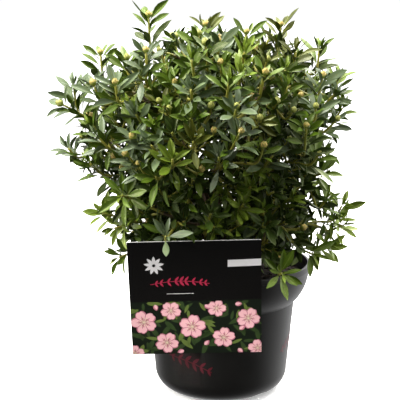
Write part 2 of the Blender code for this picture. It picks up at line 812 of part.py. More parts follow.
def build_core(mass, masses, to_card, rng, home):
    """The dense middle of a mass: a faceted ball let out from its centre as far as the space allows."""
    centre = HEART.lerp(mass["centre"], CORE_PLACE)
    ball = bmesh.new()
    bmesh.ops.create_icosphere(ball, subdivisions=CORE_DETAIL, radius=1)
    for corner in ball.verts:
        outward = corner.co.normalized()
        reach = CORE_STEP
        while reach < CORE_REACH and core_may_reach(centre + outward * reach, mass, masses, to_card):
            reach += CORE_STEP
        corner.co = centre + outward * reach * rng.uniform(1 - CORE_ROUGHNESS, 1)
    mesh = bpy.data.meshes.new("core")
    ball.to_mesh(mesh)
    ball.free()
    mesh.materials.append(material("foliage_shade"))
    home.objects.link(bpy.data.objects.new("core", mesh))


def build_mass(mass, masses, tips, to_card):
    rng = random.Random(f"{SEED} {mass['name']}")
    leaving = (mass["path"][-1] - mass["path"][-2]).normalized()
    foot = mass["path"][-1] + leaving * GAP
    twigs = []
    thick = twig_radius(len(tips))
    grow([foot, foot + leaving * 2 * thick], [thick, thick], leaving, tips, twigs)
    pieces = collection("pieces_" + mass["name"])
    build_core(mass, masses, to_card, rng, pieces)
    stem = None
    middles = []
    for number, (path, radii) in enumerate(twigs):
        path[1:] = [held_inside(p, mass, masses, radii[0] + CELL_MARGIN) for p in path[1:]]
        points, faces = tube(path, radii, 3)
        if stem is None:
            stem = mesh_object("foliage_" + mass["name"], points, faces, "young_stem")
        else:
            mesh_object(f"twig_{number}", points, faces, "young_stem", home=pieces)
        for k in range(LEAVES_PER_SHOOT):
            length = LEAF_LENGTH * rng.uniform(*LEAF_SIZES)
            for turn in LEAF_TURNS:
                root, along, facing = leaf_place(path, number, k, turn)
                solid = lens(root, along, facing, length, LEAF_WIDTH, LEAF_THICKNESS, LEAF_WIDEST)
                middle = root + along * length * LEAF_WIDEST
                if any((middle - other).length < LEAF_SPACING for other in middles):
                    continue
                tip = root + along * length
                if may_be_here(solid[0], root, tip, LEAF_WIDTH / 2, mass, masses, to_card):
                    mesh_object("leaf", *solid, "foliage", home=pieces)
                    middles.append(middle)
                    break
        ahead = (path[-1] - path[-2]).normalized()
        root = path[-1] - ahead * BUD_LENGTH * BUD_SINK
        if rng.random() < BUD_SHARE:
            solid = lens(root, ahead, ahead.orthogonal(), BUD_LENGTH, 2 * BUD_RADIUS, 2 * BUD_RADIUS, 0.5)
            if may_be_here(solid[0], root, path[-1], BUD_RADIUS, mass, masses, to_card):
                mesh_object("bud", *solid, "bud", home=pieces)
    join_collection(stem, pieces)


def build_foliage(masses):
    tips = shoot_tips()
    to_card = card_frame().inverted()
    for mass in masses:
        nearest = [
            tip for tip in tips if min(masses, key=lambda m: (m["centre"] - tip).length) is mass
        ]
        inside = [held_inside(tip, mass, masses, CELL_MARGIN + BUD_RADIUS) for tip in nearest]
        build_mass(mass, masses, inside, to_card)


def main():
    clear_scene()
    build_container()
    build_substrate()
    build_card()
    trunk_solid("trunk", 0, "bark")
    masses = mass_plan()
    build_boughs(masses)
    build_foliage(masses)


main()
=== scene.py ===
"""The looks of a potted dwarf rhododendron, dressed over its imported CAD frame.

Metres, +Z up, the front is -Y. The foliage grows on from the boughs by the same rule as the solids: a turned
envelope shared among masses, and in each mass one stem that forks towards its share of the shoot tips.
"""

import json
import math
import random

import bpy
import numpy as np
from mathutils import Matrix, Vector, noise

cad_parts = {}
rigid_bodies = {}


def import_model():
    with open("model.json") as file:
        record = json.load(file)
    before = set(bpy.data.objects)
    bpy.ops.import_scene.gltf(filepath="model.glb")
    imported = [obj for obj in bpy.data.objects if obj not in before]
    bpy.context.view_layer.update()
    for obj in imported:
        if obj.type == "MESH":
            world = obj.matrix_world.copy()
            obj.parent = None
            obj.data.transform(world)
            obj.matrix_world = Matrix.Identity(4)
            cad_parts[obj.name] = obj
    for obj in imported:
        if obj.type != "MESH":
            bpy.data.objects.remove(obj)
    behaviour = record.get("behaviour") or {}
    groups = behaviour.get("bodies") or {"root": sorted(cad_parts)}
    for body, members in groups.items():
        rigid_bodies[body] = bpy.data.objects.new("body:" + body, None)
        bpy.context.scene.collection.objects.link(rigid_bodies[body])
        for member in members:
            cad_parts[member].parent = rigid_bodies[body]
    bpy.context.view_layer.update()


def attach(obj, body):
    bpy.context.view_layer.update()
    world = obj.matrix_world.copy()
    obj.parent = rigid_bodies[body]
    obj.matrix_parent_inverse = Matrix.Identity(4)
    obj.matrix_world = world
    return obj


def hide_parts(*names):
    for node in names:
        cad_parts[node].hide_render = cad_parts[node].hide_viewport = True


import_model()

UP = Vector((0, 0, 1))
FRONT = Vector((0, -1, 0))
GAP = 0.0003
GOLDEN_ANGLE = math.radians(137.508)
SEED = 11
SHARP_ANGLE = math.radians(40)  # edges sharper than this aren't smoothed
POT_SHARP_ANGLE = math.radians(32)
MOTTLING = (0.34, 0.66)  # the noise between which a finish runs from one colour to the other
GRAIN = (0.3, 0.7)  # and from one roughness to the other

# Container
POT_HEIGHT = 0.167
POT_SIDES = 180
OUTER_STEPS = (14, 18)  # points round the shoulder and up the collar
INNER_STEPS = (10, 12)
WALL = 0.0020
FOOT_RADIUS = 0.060
SHOULDER_RADIUS = 0.026
NECK_RADIUS = 0.0950
NECK_HEIGHT = 0.1174
RIM_RADIUS = 0.115
RIM_THICKNESS = 0.0035
LIP_HEIGHT = 0.007
LIP_BEVEL = 0.001
LIP_STEPS = 4
LIP_STEP = (0.0006, 0.0004)  # the step under the lip: in from its edge, and down
COLLAR_SWELL = (0.0035, 0.0151)  # fullest point of the collar: in from the rim's edge, up from the crease
COLLAR_TOP = (0.0013, 0.0100)  # where the lip takes over: in from the rim's edge, down from the top
SOIL_LEVEL = 0.150
SOIL_CROWNING = 0.004
SOIL_CROWN_RADIUS = 0.105
SOIL_SINK = 0.001  # how far the crumbly surface starts below the level
SOIL_LUMPS = ((0.3, 90, 0.0013), (1.7, 260, 0.0008))  # seed, scale and height of each noise
SOIL_GAP = 0.0038  # from the rim's inner face
SOIL_EDGE = RIM_RADIUS - RIM_THICKNESS - SOIL_GAP
SOIL_DEPTH = 0.012  # of the edge below the level
SOIL_RINGS = 70
SOIL_SIDES = 200
CHIPS = (("dark", 1100), ("brown", 320))
CHIP_SPREAD = (0.02, 0.93)  # shares of the compost's surface between which they lie
CHIP_SIZES = (0.0010, 0.0034)
CHIP_SHAPE = (1, 0.5, 0.28)
CHIP_TILT = 0.5  # either way, radians
CHIP_RISE = 0.12
CHIP_WEAR = (0.6, 1.0)
CUTTER_REACH = 0.010
CHANNEL_AZIMUTHS = (41, 161, 281)  # from the front towards +X, degrees
CHANNEL_HALF_WIDTH = 0.0165
CHANNEL_HEIGHT = 0.0075
CHANNEL_START = 0.030
CHANNEL_STEPS = 16  # round a channel's arch
DRAIN_RADIUS = 0.004
DRAIN_RING = 0.067
DRAIN_SPREAD = 11  # to either side of a channel's middle, degrees
DRAIN_SIDES = 20

# Hanging card
CARD_WIDTH = 0.157
CARD_HEIGHT = 0.151
CARD_THICKNESS = 0.0008
CARD_LEAN = 12.5  # top forward, degrees
CARD_ROLL = 1.4
CARD_OFFSET = -0.033
CARD_ABOVE_REST = 0.062
CARD_REST_HEIGHT = 0.160
CARD_CORNER = 0.0012
HOOK_WIDTH = 0.022
HOOK_DROP = 0.010
HOOK_SLACK = 0.0019
HOOK_ROOT = 0.6
PRINT_STEP = 0.00003  # how far each layer of the print stands off the one below
BLOSSOM_BAND = 0.475  # share of the card's height that the blossom pattern fills
BLOSSOMS = (  # place across the band and up it, as shares, and radius
    (0.10, 0.62, 0.0165),
    (0.27, 0.22, 0.0150),
    (0.31, 0.83, 0.0130),
    (0.47, 0.52, 0.0170),
    (0.66, 0.86, 0.0120),
    (0.71, 0.30, 0.0145),
    (0.90, 0.66, 0.0150),
    (0.97, 0.08, 0.0125),
    (0.02, 0.02, 0.0120),
)
BLOSSOM_BUDS = (
    (0.19, 0.95), (0.40, 0.06), (0.56, 0.16), (0.57, 0.93), (0.82, 0.08), (0.80, 0.93), (0.83, 0.45),
)
PETALS = 5
FLOWER_LAYERS = {  # the inks of the blossom band, from the lowest layer up, and the piece that each makes
    "print_leaf": "print_leaves",
    "print_lit_leaf": "print_lit_leaves",
    "print_shade": "print_petal_edges",
    "print_petal": "print_petals",
    "print_rose": "print_petal_hearts",
    "print_eye": "print_eyes",
}
PRINTED_LEAVES = (("print_leaf", 64), ("print_lit_leaf", 26))
PRINTED_LEAF_LENGTHS = (0.012, 0.021)
PRINTED_LEAF_SLIM = 0.30  # width against length
PETAL_EDGE = 0.82  # a petal's width with its edge, and the length and width inside it, in blossom radii
PETAL_FACE = (0.95, 0.68)
PETAL_STREAKS = ((-0.24, 0.46), (0.0, 0.58), (0.24, 0.46))  # turn from the petal's middle, and length
ANTHER_REACH = (0.26, 0.40)
PRINTED_BUD = ((0.0085, 0.0060), (0.0070, 0.0034))  # length and width of its outer and inner petal
BARE_EDGE = 0.0004  # white stock left bare along the card's top
BAND_RISE = 0.001  # of the blossom band's ground, from left to right
LABEL_LEFT = 0.039
LABEL_BOTTOM = (0.0275, 0.0285)  # at its left and right ends
LABEL_HEIGHT = 0.009
SPRIG_PLACE = (-0.018, 0.006)
SPRIG_LENGTH = 0.070
SPRIG_FORM = (0.0085, 0.004, 9)  # length of its longest leaf, bow of its stem, pairs of leaves
SPRIG_STEPS = 24
SPRIG_LEAF_ANGLE = math.radians(52)
WHORL_PLACE = (-0.048, 0.031)
WHORL_HEART = 0.0016
WHORL_PETALS = 9
WHORL_PETAL = (0.0105, 0.0042)
RULE = (-0.034, -0.0070, -0.002, -0.0063)  # left, bottom, right, top

# Sprigs printed on the container: middle's azimuth from the front and height, length, tilt
POT_SPRIGS = (
    (-28, 0.052, 0.062, -14),
    (72, 0.064, 0.050, 12),
    (160, 0.058, 0.062, -10),
    (242, 0.064, 0.050, 12),
)
POT_SPRIG_FORM = (0.0125, 0.004, 6)  # length of its longest leaf, bow of its stem, pairs of leaves
DECAL_LIFT = 0.00012

# Main stem and boughs
TRUNK_FOOT = Vector((0.004, 0.001, SOIL_LEVEL + SOIL_CROWNING + GAP))
TRUNK_TOP = Vector((-0.003, 0.0, 0.216))
TRUNK_RADIUS = 0.0120
TRUNK_TAPER = 0.24
FLARE = 0.9
FLARE_REACH = 0.016
FLARE_LOBES = 5
FLARE_LOBING = 0.20
BOUGH_FOOT_RADIUS = 0.0038
BOUGH_TIP_RADIUS = 0.0021
BOUGH_STEPS = 4
BOUGH_SWEEP = 0.55
TRUNK_SIDES, TRUNK_RINGS = 60, 46
BOUGH_SIDES, BOUGH_RINGS = 16, 40
TRUNK_BARK = 0.10  # depth of the bark's relief, as a share of the radius
BOUGH_BARK = 0.14
TRUNK_DOME = 0.06  # share of the stem's height that its rounded top takes

# Crown outline, where the leaves end: height, radius, sideways lean of its axis
CROWN_PROFILE = (
    (0.166, 0.122, -0.004),
    (0.190, 0.134, 0.000),
    (0.215, 0.152, 0.001),
    (0.250, 0.154, 0.000),
    (0.280, 0.152, -0.012),
    (0.315, 0.168, -0.028),
    (0.350, 0.178, -0.026),
    (0.385, 0.178, -0.019),
    (0.412, 0.160, -0.010),
    (0.435, 0.145, -0.008),
    (0.456, 0.118, -0.004),
    (0.474, 0.085, -0.010),
    (0.484, 0.000, -0.010),
)

# Rings of masses: name, centre height and radius, count, first azimuth, bough's foot height and rise
MASS_RINGS = (
    ("skirt", 0.215, 0.118, 5, 46, 0.170, 20),
    ("side", 0.305, 0.118, 5, 66, 0.187, 38),
    ("shoulder", 0.392, 0.090, 4, 40, 0.203, 46),
)
TOP_MASS_CENTRE = Vector((-0.022, -0.005, 0.442))
HEART = Vector((-0.004, 0.0, 0.225))
ENTRY_SHARES = (0.48, 0.54, 0.58, 0.62, 0.66, 0.70, 0.74, 0.78)  # of the way from heart to mass's centre
ENTRY_MARGIN = 0.005

# Shoots that stand out along the crown's edge: the bud's place, the way it points, what ends it, its colour.
# Many take the grey-green colour that paints the sheen of lit, glossy leaves
LEADING_SHOOTS = (
    ((-0.09, -0.03, 0.48), (-0.08, 0, 1), "cream", "mid"),
    ((-0.15, -0.02, 0.435), (-0.1, 0, 1), "cream", "mid"),
    ((-0.116, -0.04, 0.429), (0, -0.1, 1), "green", "mid"),
    ((-0.092, -0.06, 0.439), (-0.05, -0.1, 1), "cream", "painted_sheen"),
    ((-0.157, -0.05, 0.399), (-0.4, -0.1, 1), "cream", "painted_sheen"),
    ((-0.126, -0.1, 0.403), (-0.1, -0.5, 1), "cream", "painted_sheen"),
    ((-0.184, -0.02, 0.396), (-0.1, -0.15, 1), "tuft", "painted_sheen"),
    ((-0.2, -0.03, 0.372), (-0.8, -0.3, 0.45), "green", "painted_sheen"),
    ((-0.192, -0.04, 0.32), (-0.55, -0.45, 0.75), "tuft", "painted_sheen"),
    ((-0.164, -0.055, 0.303), (-0.5, -0.4, 0.6), "tuft", "mid"),
    ((-0.12, -0.12, 0.273), (-0.3, -0.9, 0.3), "tuft", "mid"),
    ((-0.15, -0.06, 0.24), (-0.8, -0.55, 0.25), "tuft", "fresh"),
    ((-0.136, -0.055, 0.219), (-0.7, -0.5, -0.1), "tuft", "fresh"),
    ((-0.131, -0.056, 0.182), (-0.75, -0.5, -0.2), "tuft", "mid"),
    ((-0.066, -0.142, 0.23), (0.1, -0.9, 0.5), "tuft", "painted_sheen"),
    ((-0.029, -0.02, 0.458), (-0.02, 0, 1), "green", "mid"),
    ((-0.02, 0, 0.468), (0, 0, 1), "cream", "bronze"),
    ((-0.005, -0.05, 0.451), (0, -0.1, 1), "cream", "painted_sheen"),
    ((-0.003, -0.09, 0.424), (0, -0.3, 1), "cream", "mid"),
    ((0.03, -0.02, 0.46), (0.05, 0, 1), "cream", "mid"),
    ((-0.034, -0.05, 0.434), (-0.1, -0.1, 1), "tuft", "painted_sheen"),
    ((0.071, -0.03, 0.469), (0.05, 0, 1), "cream", "bronze"),
    ((0.088, -0.05, 0.44), (0.1, -0.1, 1), "tuft", "bronze"),
    ((0.121, -0.01, 0.442), (0.1, 0, 1), "tuft", "mid"),
    ((0.12, -0.06, 0.408), (0.2, -0.2, 1), "cream", "painted_sheen"),
    ((0.146, 0, 0.406), (0.2, 0, 1), "tuft", "fresh"),
    ((0.142, -0.02, 0.385), (0.6, -0.25, 0.7), "tuft", "painted_sheen"),
    ((0.153, -0.01, 0.367), (0.5, -0.25, 0.8), "tuft", "fresh"),
    ((0.142, -0.04, 0.355), (0.5, -0.2, 0.6), "green", "painted_sheen"),
    ((0.109, -0.09, 0.375), (0, -0.3, 1), "green", "painted_sheen"),
    ((0.096, -0.11, 0.354), (0, -0.5, 0.9), "cream", "mid"),
    ((0.114, -0.09, 0.318), (0.3, -0.4, 0.6), "green", "mid"),
    ((0.129, -0.03, 0.315), (0.7, -0.45, 0.4), "tuft", "mid"),
    ((0.127, -0.05, 0.289), (0.6, -0.5, 0.3), "tuft", "mid"),
    ((0.131, -0.04, 0.256), (0.45, -0.4, 0.8), "tuft", "mid"),
    ((0.152, -0.03, 0.246), (0.4, -0.3, 0.85), "tuft", "fresh"),
    ((0.153, -0.04, 0.222), (0.65, -0.5, 0.45), "tuft", "fresh"),
    ((0.138, -0.055, 0.2), (0.6, -0.65, 0.3), "tuft", "fresh"),
    ((0.112, -0.07, 0.19), (0.5, -0.7, -0.1), "tuft", "mid"),
    ((0.07, -0.116, 0.178), (0.1, -0.88, 0.22), "tuft", "mid"),
    ((-0.06, 0.128, 0.425), (-0.1, 0.4, 1), "cream", "mid"),
    ((0.06, 0.16, 0.345), (0.2, 0.8, 0.7), "green", "mid"),
    ((-0.04, 0.132, 0.24), (-0.2, 0.9, 0.3), "tuft", "mid"),
)
LEADING_BACK = 0.004  # how far a leading shoot's bud stays below the crown's edge
LEADING_ROOM = 0.023  # no other shoot ends this close to a leading one

# Shoots
SHOOTS = 330
SHOOT_DEPTHS = (0.80, 1.0)
THIN_ABOVE = 0.435  # the top of the crown is thinner by a share
THIN_SHARE = 0.35
INNER_SHOOTS = 130
INNER_DEPTHS = (0.40, 0.76)
DEPTH_SINK = (0.4, 0.6)  # the share of a tip's height that it keeps, and what its depth adds to it
OVERHANG = 0.021  # how far the leaves reach past their shoot's bud
INSET = 0.010  # how far the leaves reach out to its side
LIFTS = ((0.166, -0.10), (0.215, 0.30), (0.280, 0.80), (0.350, 1.20), (0.440, 2.20), (0.490, 4.00))
HEADING_JITTER = 0.30
FORKS = 3
FORK_SHARE = 0.34
STRAIGHT = 0.034  # how far a shoot is straight before its bud
LEADING_STRAIGHT = 0.050
BOUGH_OVERLAP = 0.002  # how far a mass's first twig starts back inside its bough
TIP_RADIUS = 0.00140
TWIG_POWER = 0.20
TIP_THICKENING = (1.3, 1.15)  # of a shoot halfway along and where its straight end starts
BRANCH_THINNING = 0.9  # at the foot of a side branch
FORK_STEER = 0.65  # how far a twig turns to its shoots before it forks
TIP_STEER = 0.35  # how far a shoot goes on the way it left, as a share of its reach
TWIG_STEP = 0.005
TWIG_EASING = 6
YOUNG_LENGTH = 0.075  # green end of a twig; below it the bark is brown
TWIG_SIDES = 6

# Leaves and buds
LEAF_LENGTH = 0.0314
LEAF_WIDTH = 0.0079
LEAF_VARIATION = (0.80, 1.14)
LEAF_WIDTH_VARIATION = (0.88, 1.14)
SPRAY_VARIATION = (0.90, 1.10)
LEAF_STATIONS = (0.0, 0.10, 0.27, 0.46, 0.64, 0.80, 0.92, 1.0)
LEAF_ACROSS = (-1.0, -0.55, 0.0, 0.55, 1.0)
LEAF_WIDEST_POWER = 1.22
# Limits of a leaf's fold along its rib, arch, rolled edges, sideways sway and twist
LEAF_FORMS = ((0.05, 0.30), (-0.16, 0.10), (0.02, 0.08), (-0.10, 0.10), (-0.22, 0.22))
# The rings of a leaf's stalk and rib: place along the leaf and thickness, and their corners across and up
RIB_STATIONS = ((-0.10, 1.0), (0.0, 0.9), (0.27, 0.62), (0.55, 0.42), (0.86, 0.14))
RIB_CORNERS = ((-0.052, -0.006), (0.052, -0.006), (0.0, 0.014))
PETIOLE_SHARE = 0.10
LEAF_VARIANTS = 24
LEAVES_PER_SHOOT = 16
LEAVES_PER_INNER_SHOOT = 11
LEAFY_LENGTH = 0.046  # stretch of a shoot that bears leaves, crowded towards its tip
LEAF_CROWDING = 1.4
LEAF_SCATTER = (-0.2, 0.3)  # of a leaf's place along its shoot, in steps from leaf to leaf
LAST_LEAF = 0.9  # no leaf stands further back than this share of its path
FIRST_LEAF = 0.0020  # its distance below the bud
# Angles of the leaves from the stem, at the tip and at the lowest leaf, degrees
LEAF_ANGLES = {"bud": (46, 76), "tuft": (32, 76), "upright": (46, 68), "open": (48, 82)}
LEAF_ANGLE_EASING = 0.55
LEAF_ANGLE_JITTER = 10
LEAF_RISE = 0.10
TUFT_LEAVES = 4
TUFT_ANGLES = (10, 8)  # the first young leaf's angle and the next ones' step, degrees
TUFT_SIZES = (0.38, 0.08)  # and their lengths, as shares of a leaf's
TUFT_WIDTH = 0.45
UPRIGHT_FROM = 0.62
FACE_TIP = 0.80  # how strongly a leaf's face turns to the shoot's tip, upwards, outwards and astray
FACE_UP = 0.30
FACE_OUT = 0.32
FACE_TWIST = 0.62
LEADING_FRONT = 0.60  # a leading shoot's leaves also turn to the front, and are larger
LEADING_FRONT_ZONE = 0.1  # unless it stands behind this
LEADING_SIZE = 1.06
LOW_SPRAYS = 0.29  # the colours below this height differ from those above it: there most sprays take the darkest green, painted shade under the crown
SPRAY_COLOURS = (("mid", 0.43), ("painted_sheen", 0.22), ("dark_and_shaded", 0.16), ("fresh", 0.10), ("bronze", 0.09))
# mostly the darkest green: painted shade on the low sprays under the crown
LOW_SPRAY_COLOURS = (("dark_and_shaded", 0.64), ("mid", 0.18), ("fresh", 0.11), ("painted_sheen", 0.07))
YOUNG_LEAF_SIZE = 0.68
YOUNG_LEAVES = (2, 4)  # how many are smaller than the rest, on a leading shoot and on another
LEAF_ROUGHNESS = (0.30, 0.44)
LEAF_SHEEN = (0.93, 1.0, 0.54, 1)  # tint of the light that a blade mirrors
# specular tint of the leaves whose grey-green base colour is painted sheen
PAINTED_SHEEN_LEAF_TINT = (0.98, 1.0, 0.98, 1)
BUD_OPENING = 144  # degrees from the front to the youngest leaf, so that a leading shoot shows its bud
OLD_AND_SHADED_LEAVES_FROM = 10  # the leaves from this one down take an older colour: darker, as older leaves are, and also painted shade deeper in the crown, with no painted sheen
OLDER_AND_SHADED = {"painted_sheen": "mid", "mid": "dark_and_shaded", "dark_and_shaded": "dark_and_shaded", "fresh": "mid", "bronze": "dark_and_shaded"}
# the darkest leaves, painted shade among them, and bronze ones have dark stalks
RIB_KINDS = {"painted_sheen": "pale", "mid": "pale", "dark_and_shaded": "dark_and_shaded", "fresh": "pale", "bronze": "dark_and_shaded"}
BUD_RADIUS = 0.0041
BUD_LENGTH = 0.0100
BUD_VARIATION = (0.82, 1.10)
BUD_SINK = 0.10  # share of its length that starts inside its shoot
LOWER_SCALES = (0.02, 0.30, 7)  # first and last scale's place up the bud, and their number
UPPER_SCALES = (0.28, 0.74, 13)
BUD_SIDES, BUD_RINGS = 10, 7
BUD_SHARE = 0.68
LOW_BUD_SHARE = 0.10
KEEP_OFF_POT = 0.0015
KEEP_OFF_CARD = 0.0030
KEEP_OFF_BOUGH = 0.0012
LEAF_MIDDLE = 0.55  # where a leaf is widest, as a share of its length
LEAF_ROOM = 0.3  # the share of its width that it needs beside a bough
EDGE_ON = 0.97  # a face this close to the way its leaf points turns to the shoot's tip instead
CARD_ZONE = -RIM_RADIUS + 0.035  # only leaves in front of this can meet the card

# Camera and stage
CAMERA_PLACE = Vector((-0.0273, -1.3, 0.481))
CAMERA_PITCH = 79.73
CAMERA_LENS = 92.7
CAMERA_SENSOR = 36
FLOOR_RADIUS = 60.0
FLOOR_SIDES = 96
FLOOR_DROP = 0.0002
FLOOR_GLOW = 0.30
BACKDROP = 1.02  # what the camera sees past the floor
WORLD_UP = (-0.10, 1.0, 0.13, 3.1)  # brightness against the direction's height
WORLD_BACK = (-0.80, -0.10, 0.30, 1.0)  # and against how far it points away from the camera's side
SCREEN_WAY = (0.40, 0.90, 0.0)  # towards a lit white screen behind the plant
SCREEN = (0.05, 0.90, 0.0, 1.05)  # its brightness against how far a direction points its way
SCREEN_TOP = (0.05, 0.55, 1.0, 0.0)  # and against height
LIGHTS = (  # name, place, what it faces, its two sides, power in watts, and a narrow one's spread in degrees
    ("key", (-0.7, -0.20, 2.2), (0, 0, 0.3), (1.3, 1.1), 90),
    ("fill_back", (0.9, 0.8, 1.7), (0, 0, 0.3), (1.2, 1.2), 60),
    ("side", (1.6, -0.35, 0.5), (0, 0, 0.15), (1.1, 0.9), 7),
    ("side_left", (-1.7, -0.3, 0.9), (0, 0, 0.3), (1.0, 0.8), 38),
    ("card", (-1.30, -1.15, 0.15), (-0.055, -0.14, 0.112), (0.20, 0.05), 0.10, 9),
)
LIGHT_COLOUR = (1.0, 0.97, 0.91)

# Finishes: two colours, the scale of their mottling, roughness, and the relief's strength, scale and depth
FINISHES = {
    "pot": ((0.0050, 0.0047, 0.0043), (0.0078, 0.0074, 0.0068), 26, (0.30, 0.42), 0.10, 1400, 0.0002),
    "pot_print": ((0.075, 0.006, 0.012), (0.105, 0.009, 0.018), 60, (0.34, 0.44), 0.08, 1400, 0.0002),
    "compost": ((0.010, 0.006, 0.004), (0.040, 0.022, 0.012), 160, (0.85, 1.0), 0.9, 1200, 0.0008),
    "chip_dark": ((0.012, 0.007, 0.005), (0.030, 0.017, 0.010), 300, (0.8, 1), 0.6, 1500, 0.0005),
    "chip_brown": ((0.050, 0.026, 0.014), (0.095, 0.052, 0.028), 300, (0.8, 1), 0.6, 1500, 0.0005),
    "bark": ((0.060, 0.036, 0.020), (0.190, 0.125, 0.072), 140, (0.75, 0.95), 0.8, 900, 0.0006),
    "woody_twig": ((0.085, 0.058, 0.030), (0.175, 0.125, 0.055), 80, (0.6, 0.8), 0.5, 800, 0.0005),
    "young_stem": ((0.235, 0.255, 0.032), (0.410, 0.375, 0.058), 45, (0.40, 0.55), 0.3, 700, 0.0005),
    "leaf_stalk_pale": ((0.190, 0.215, 0.048), (0.270, 0.280, 0.075), 90, (0.4, 0.55), 0.2, 900, 0.0005),
    "leaf_stalk_dark_and_shaded": ((0.085, 0.120, 0.035), (0.120, 0.160, 0.050), 90, (0.4, 0.55), 0.2, 900, 0.0005),
    "bud_body": ((0.230, 0.265, 0.042), (0.350, 0.380, 0.080), 420, (0.40, 0.55), 0.3, 1500, 0.0005),
    "bud_cream": ((0.570, 0.380, 0.085), (0.810, 0.630, 0.240), 420, (0.42, 0.58), 0.3, 1500, 0.0005),
    "bud_green": ((0.430, 0.450, 0.095), (0.620, 0.610, 0.200), 420, (0.42, 0.58), 0.3, 1500, 0.0005),
    "floor": ((0.90, 0.90, 0.90), (0.93, 0.93, 0.93), 3, (0.55, 0.65), 0.02, 200, 0.0005),
}
LEAF_COLOURS = {
    "mid": ((0.050, 0.096, 0.006), (0.084, 0.142, 0.010)),
    # darkest green: the colour of older and some other leaves, and painted shade on the crown's inner and low
    # sprays
    "dark_and_shaded": ((0.018, 0.037, 0.004), (0.032, 0.058, 0.007)),
    # grey-green: painted sheen, standing for the light that lit, glossy leaves mirror
    "painted_sheen": ((0.078, 0.119, 0.047), (0.118, 0.161, 0.072)),
    "fresh": ((0.106, 0.168, 0.013), (0.160, 0.226, 0.022)),
    "bronze": ((0.048, 0.060, 0.006), (0.082, 0.094, 0.009)),
}
for leaf_kind, colours in LEAF_COLOURS.items():
    FINISHES["leaf_" + leaf_kind] = (*colours, 70, LEAF_ROUGHNESS, 0.25, 900, 0.0002)
INKS = {  # each colour on the card, and its roughness
    "card_stock": ((0.72, 0.72, 0.70), 0.42),
    "print_black": ((0.0040, 0.0034, 0.0032), 0.30),
    "print_ground": ((0.006, 0.010, 0.005), 0.32),
    "print_white": ((0.92, 0.91, 0.92), 0.40),
    "print_pink": ((0.50, 0.030, 0.080), 0.34),
    "print_leaf": ((0.034, 0.062, 0.018), 0.34),
    "print_lit_leaf": ((0.125, 0.180, 0.040), 0.34),
    "print_shade": ((0.60, 0.21, 0.28), 0.34),
    "print_petal": ((0.92, 0.53, 0.57), 0.34),
    "print_rose": ((0.60, 0.20, 0.27), 0.34),
    "print_eye": ((0.86, 0.74, 0.52), 0.34),
}
INK_SHADE = 0.93  # an ink's darker colour, as a share of its lighter one
INK_SCALE = 60
INK_SPREAD = (-0.04, 0.06)  # of its roughness
INK_RELIEF = (0.05, 2500, 0.0001)
WHITE = (1, 1, 1, 1)


# Materials


def set_inputs(tree, node, **values):
    """Sets a node's inputs by name, with underscores for spaces. An output as value is linked."""
    for name, value in values.items():
        socket = node.inputs[name.replace("_", " ")]
        if isinstance(value, bpy.types.NodeSocket):
            tree.links.new(value, socket)
        else:
            socket.default_value = value
    return node


def add_node(tree, kind, output, **values):
    """One output of a new node that has its inputs set."""
    return set_inputs(tree, tree.nodes.new("ShaderNode" + kind), **values).outputs[output]


def ramp(tree, source, limits):
    """A value that runs between two limits, the last two, while its source runs between the first two."""
    names = ("From_Min", "From_Max", "To_Min", "To_Max")
    return add_node(tree, "MapRange", "Result", Value=source, **dict(zip(names, limits)))


def surface(name, low, high, scale, roughness, bump, grain, depth, stretch=(1, 1, 1), **sockets):
    """A procedural finish: two colours mixed by noise, and roughness and relief from a finer noise."""
    made = bpy.data.materials.new(name + "_finish")
    made.use_nodes = True
    tree = made.node_tree
    place = add_node(tree, "TexCoord", "Object")
    place = add_node(tree, "Mapping", "Vector", Vector=place, Scale=stretch)
    broad = add_node(tree, "TexNoise", "Fac", Vector=place, Scale=scale, Detail=4)
    mottling = add_node(tree, "ValToRGB", "Color", Fac=broad)
    for element, position, colour in zip(mottling.node.color_ramp.elements, MOTTLING, (low, high)):
        element.position = position
        element.color = (*colour, 1)
    fine = add_node(tree, "TexNoise", "Fac", Vector=place, Scale=grain, Detail=3)
    relief = add_node(tree, "Bump", "Normal", Height=fine, Strength=bump, Distance=depth)
    set_inputs(
        tree, tree.nodes["Principled BSDF"], Base_Color=mottling, Normal=relief,
        Roughness=ramp(tree, fine, (*GRAIN, *roughness)), **sockets,
    )
    return made


def finish_for(name, **extra):
    return surface(name, *FINISHES[name], **extra)


def leaf_finish(kind):
    # leaves whose base colour is painted sheen mirror a whiter light
    sheen = PAINTED_SHEEN_LEAF_TINT if kind == "painted_sheen" else LEAF_SHEEN
    return finish_for("leaf_" + kind, Specular_IOR_Level=0.5, Specular_Tint=sheen)


def ink(name):
    colour, roughness = INKS[name]
    low = tuple(c * INK_SHADE for c in colour)
    return surface(name, low, colour, INK_SCALE, [roughness + s for s in INK_SPREAD], *INK_RELIEF)


# Mesh helpers


def mesh_object(name, points, faces, finish, smooth=True):
    """A mesh object from Python lists."""
    mesh = bpy.data.meshes.new(name)
    mesh.from_pydata([tuple(p) for p in points], [], faces)
    mesh.update()
    if smooth:
        mesh.shade_smooth()
        mesh.set_sharp_from_angle(angle=SHARP_ANGLE)
    return placed(name, mesh, finish)


def array_object(name, points, triangles, finish):
    """A smooth mesh object from arrays of points and triangles."""
    mesh = bpy.data.meshes.new(name)
    mesh.vertices.add(len(points))
    mesh.vertices.foreach_set("co", np.ascontiguousarray(points, np.float32).ravel())
    mesh.loops.add(3 * len(triangles))
    mesh.loops.foreach_set("vertex_index", np.ascontiguousarray(triangles, np.int32).ravel())
    mesh.polygons.add(len(triangles))
    mesh.polygons.foreach_set("loop_start", np.arange(0, 3 * len(triangles), 3, dtype=np.int32))
    mesh.update(calc_edges=True)
    mesh.validate()
    mesh.shade_smooth()
    return placed(name, mesh, finish)


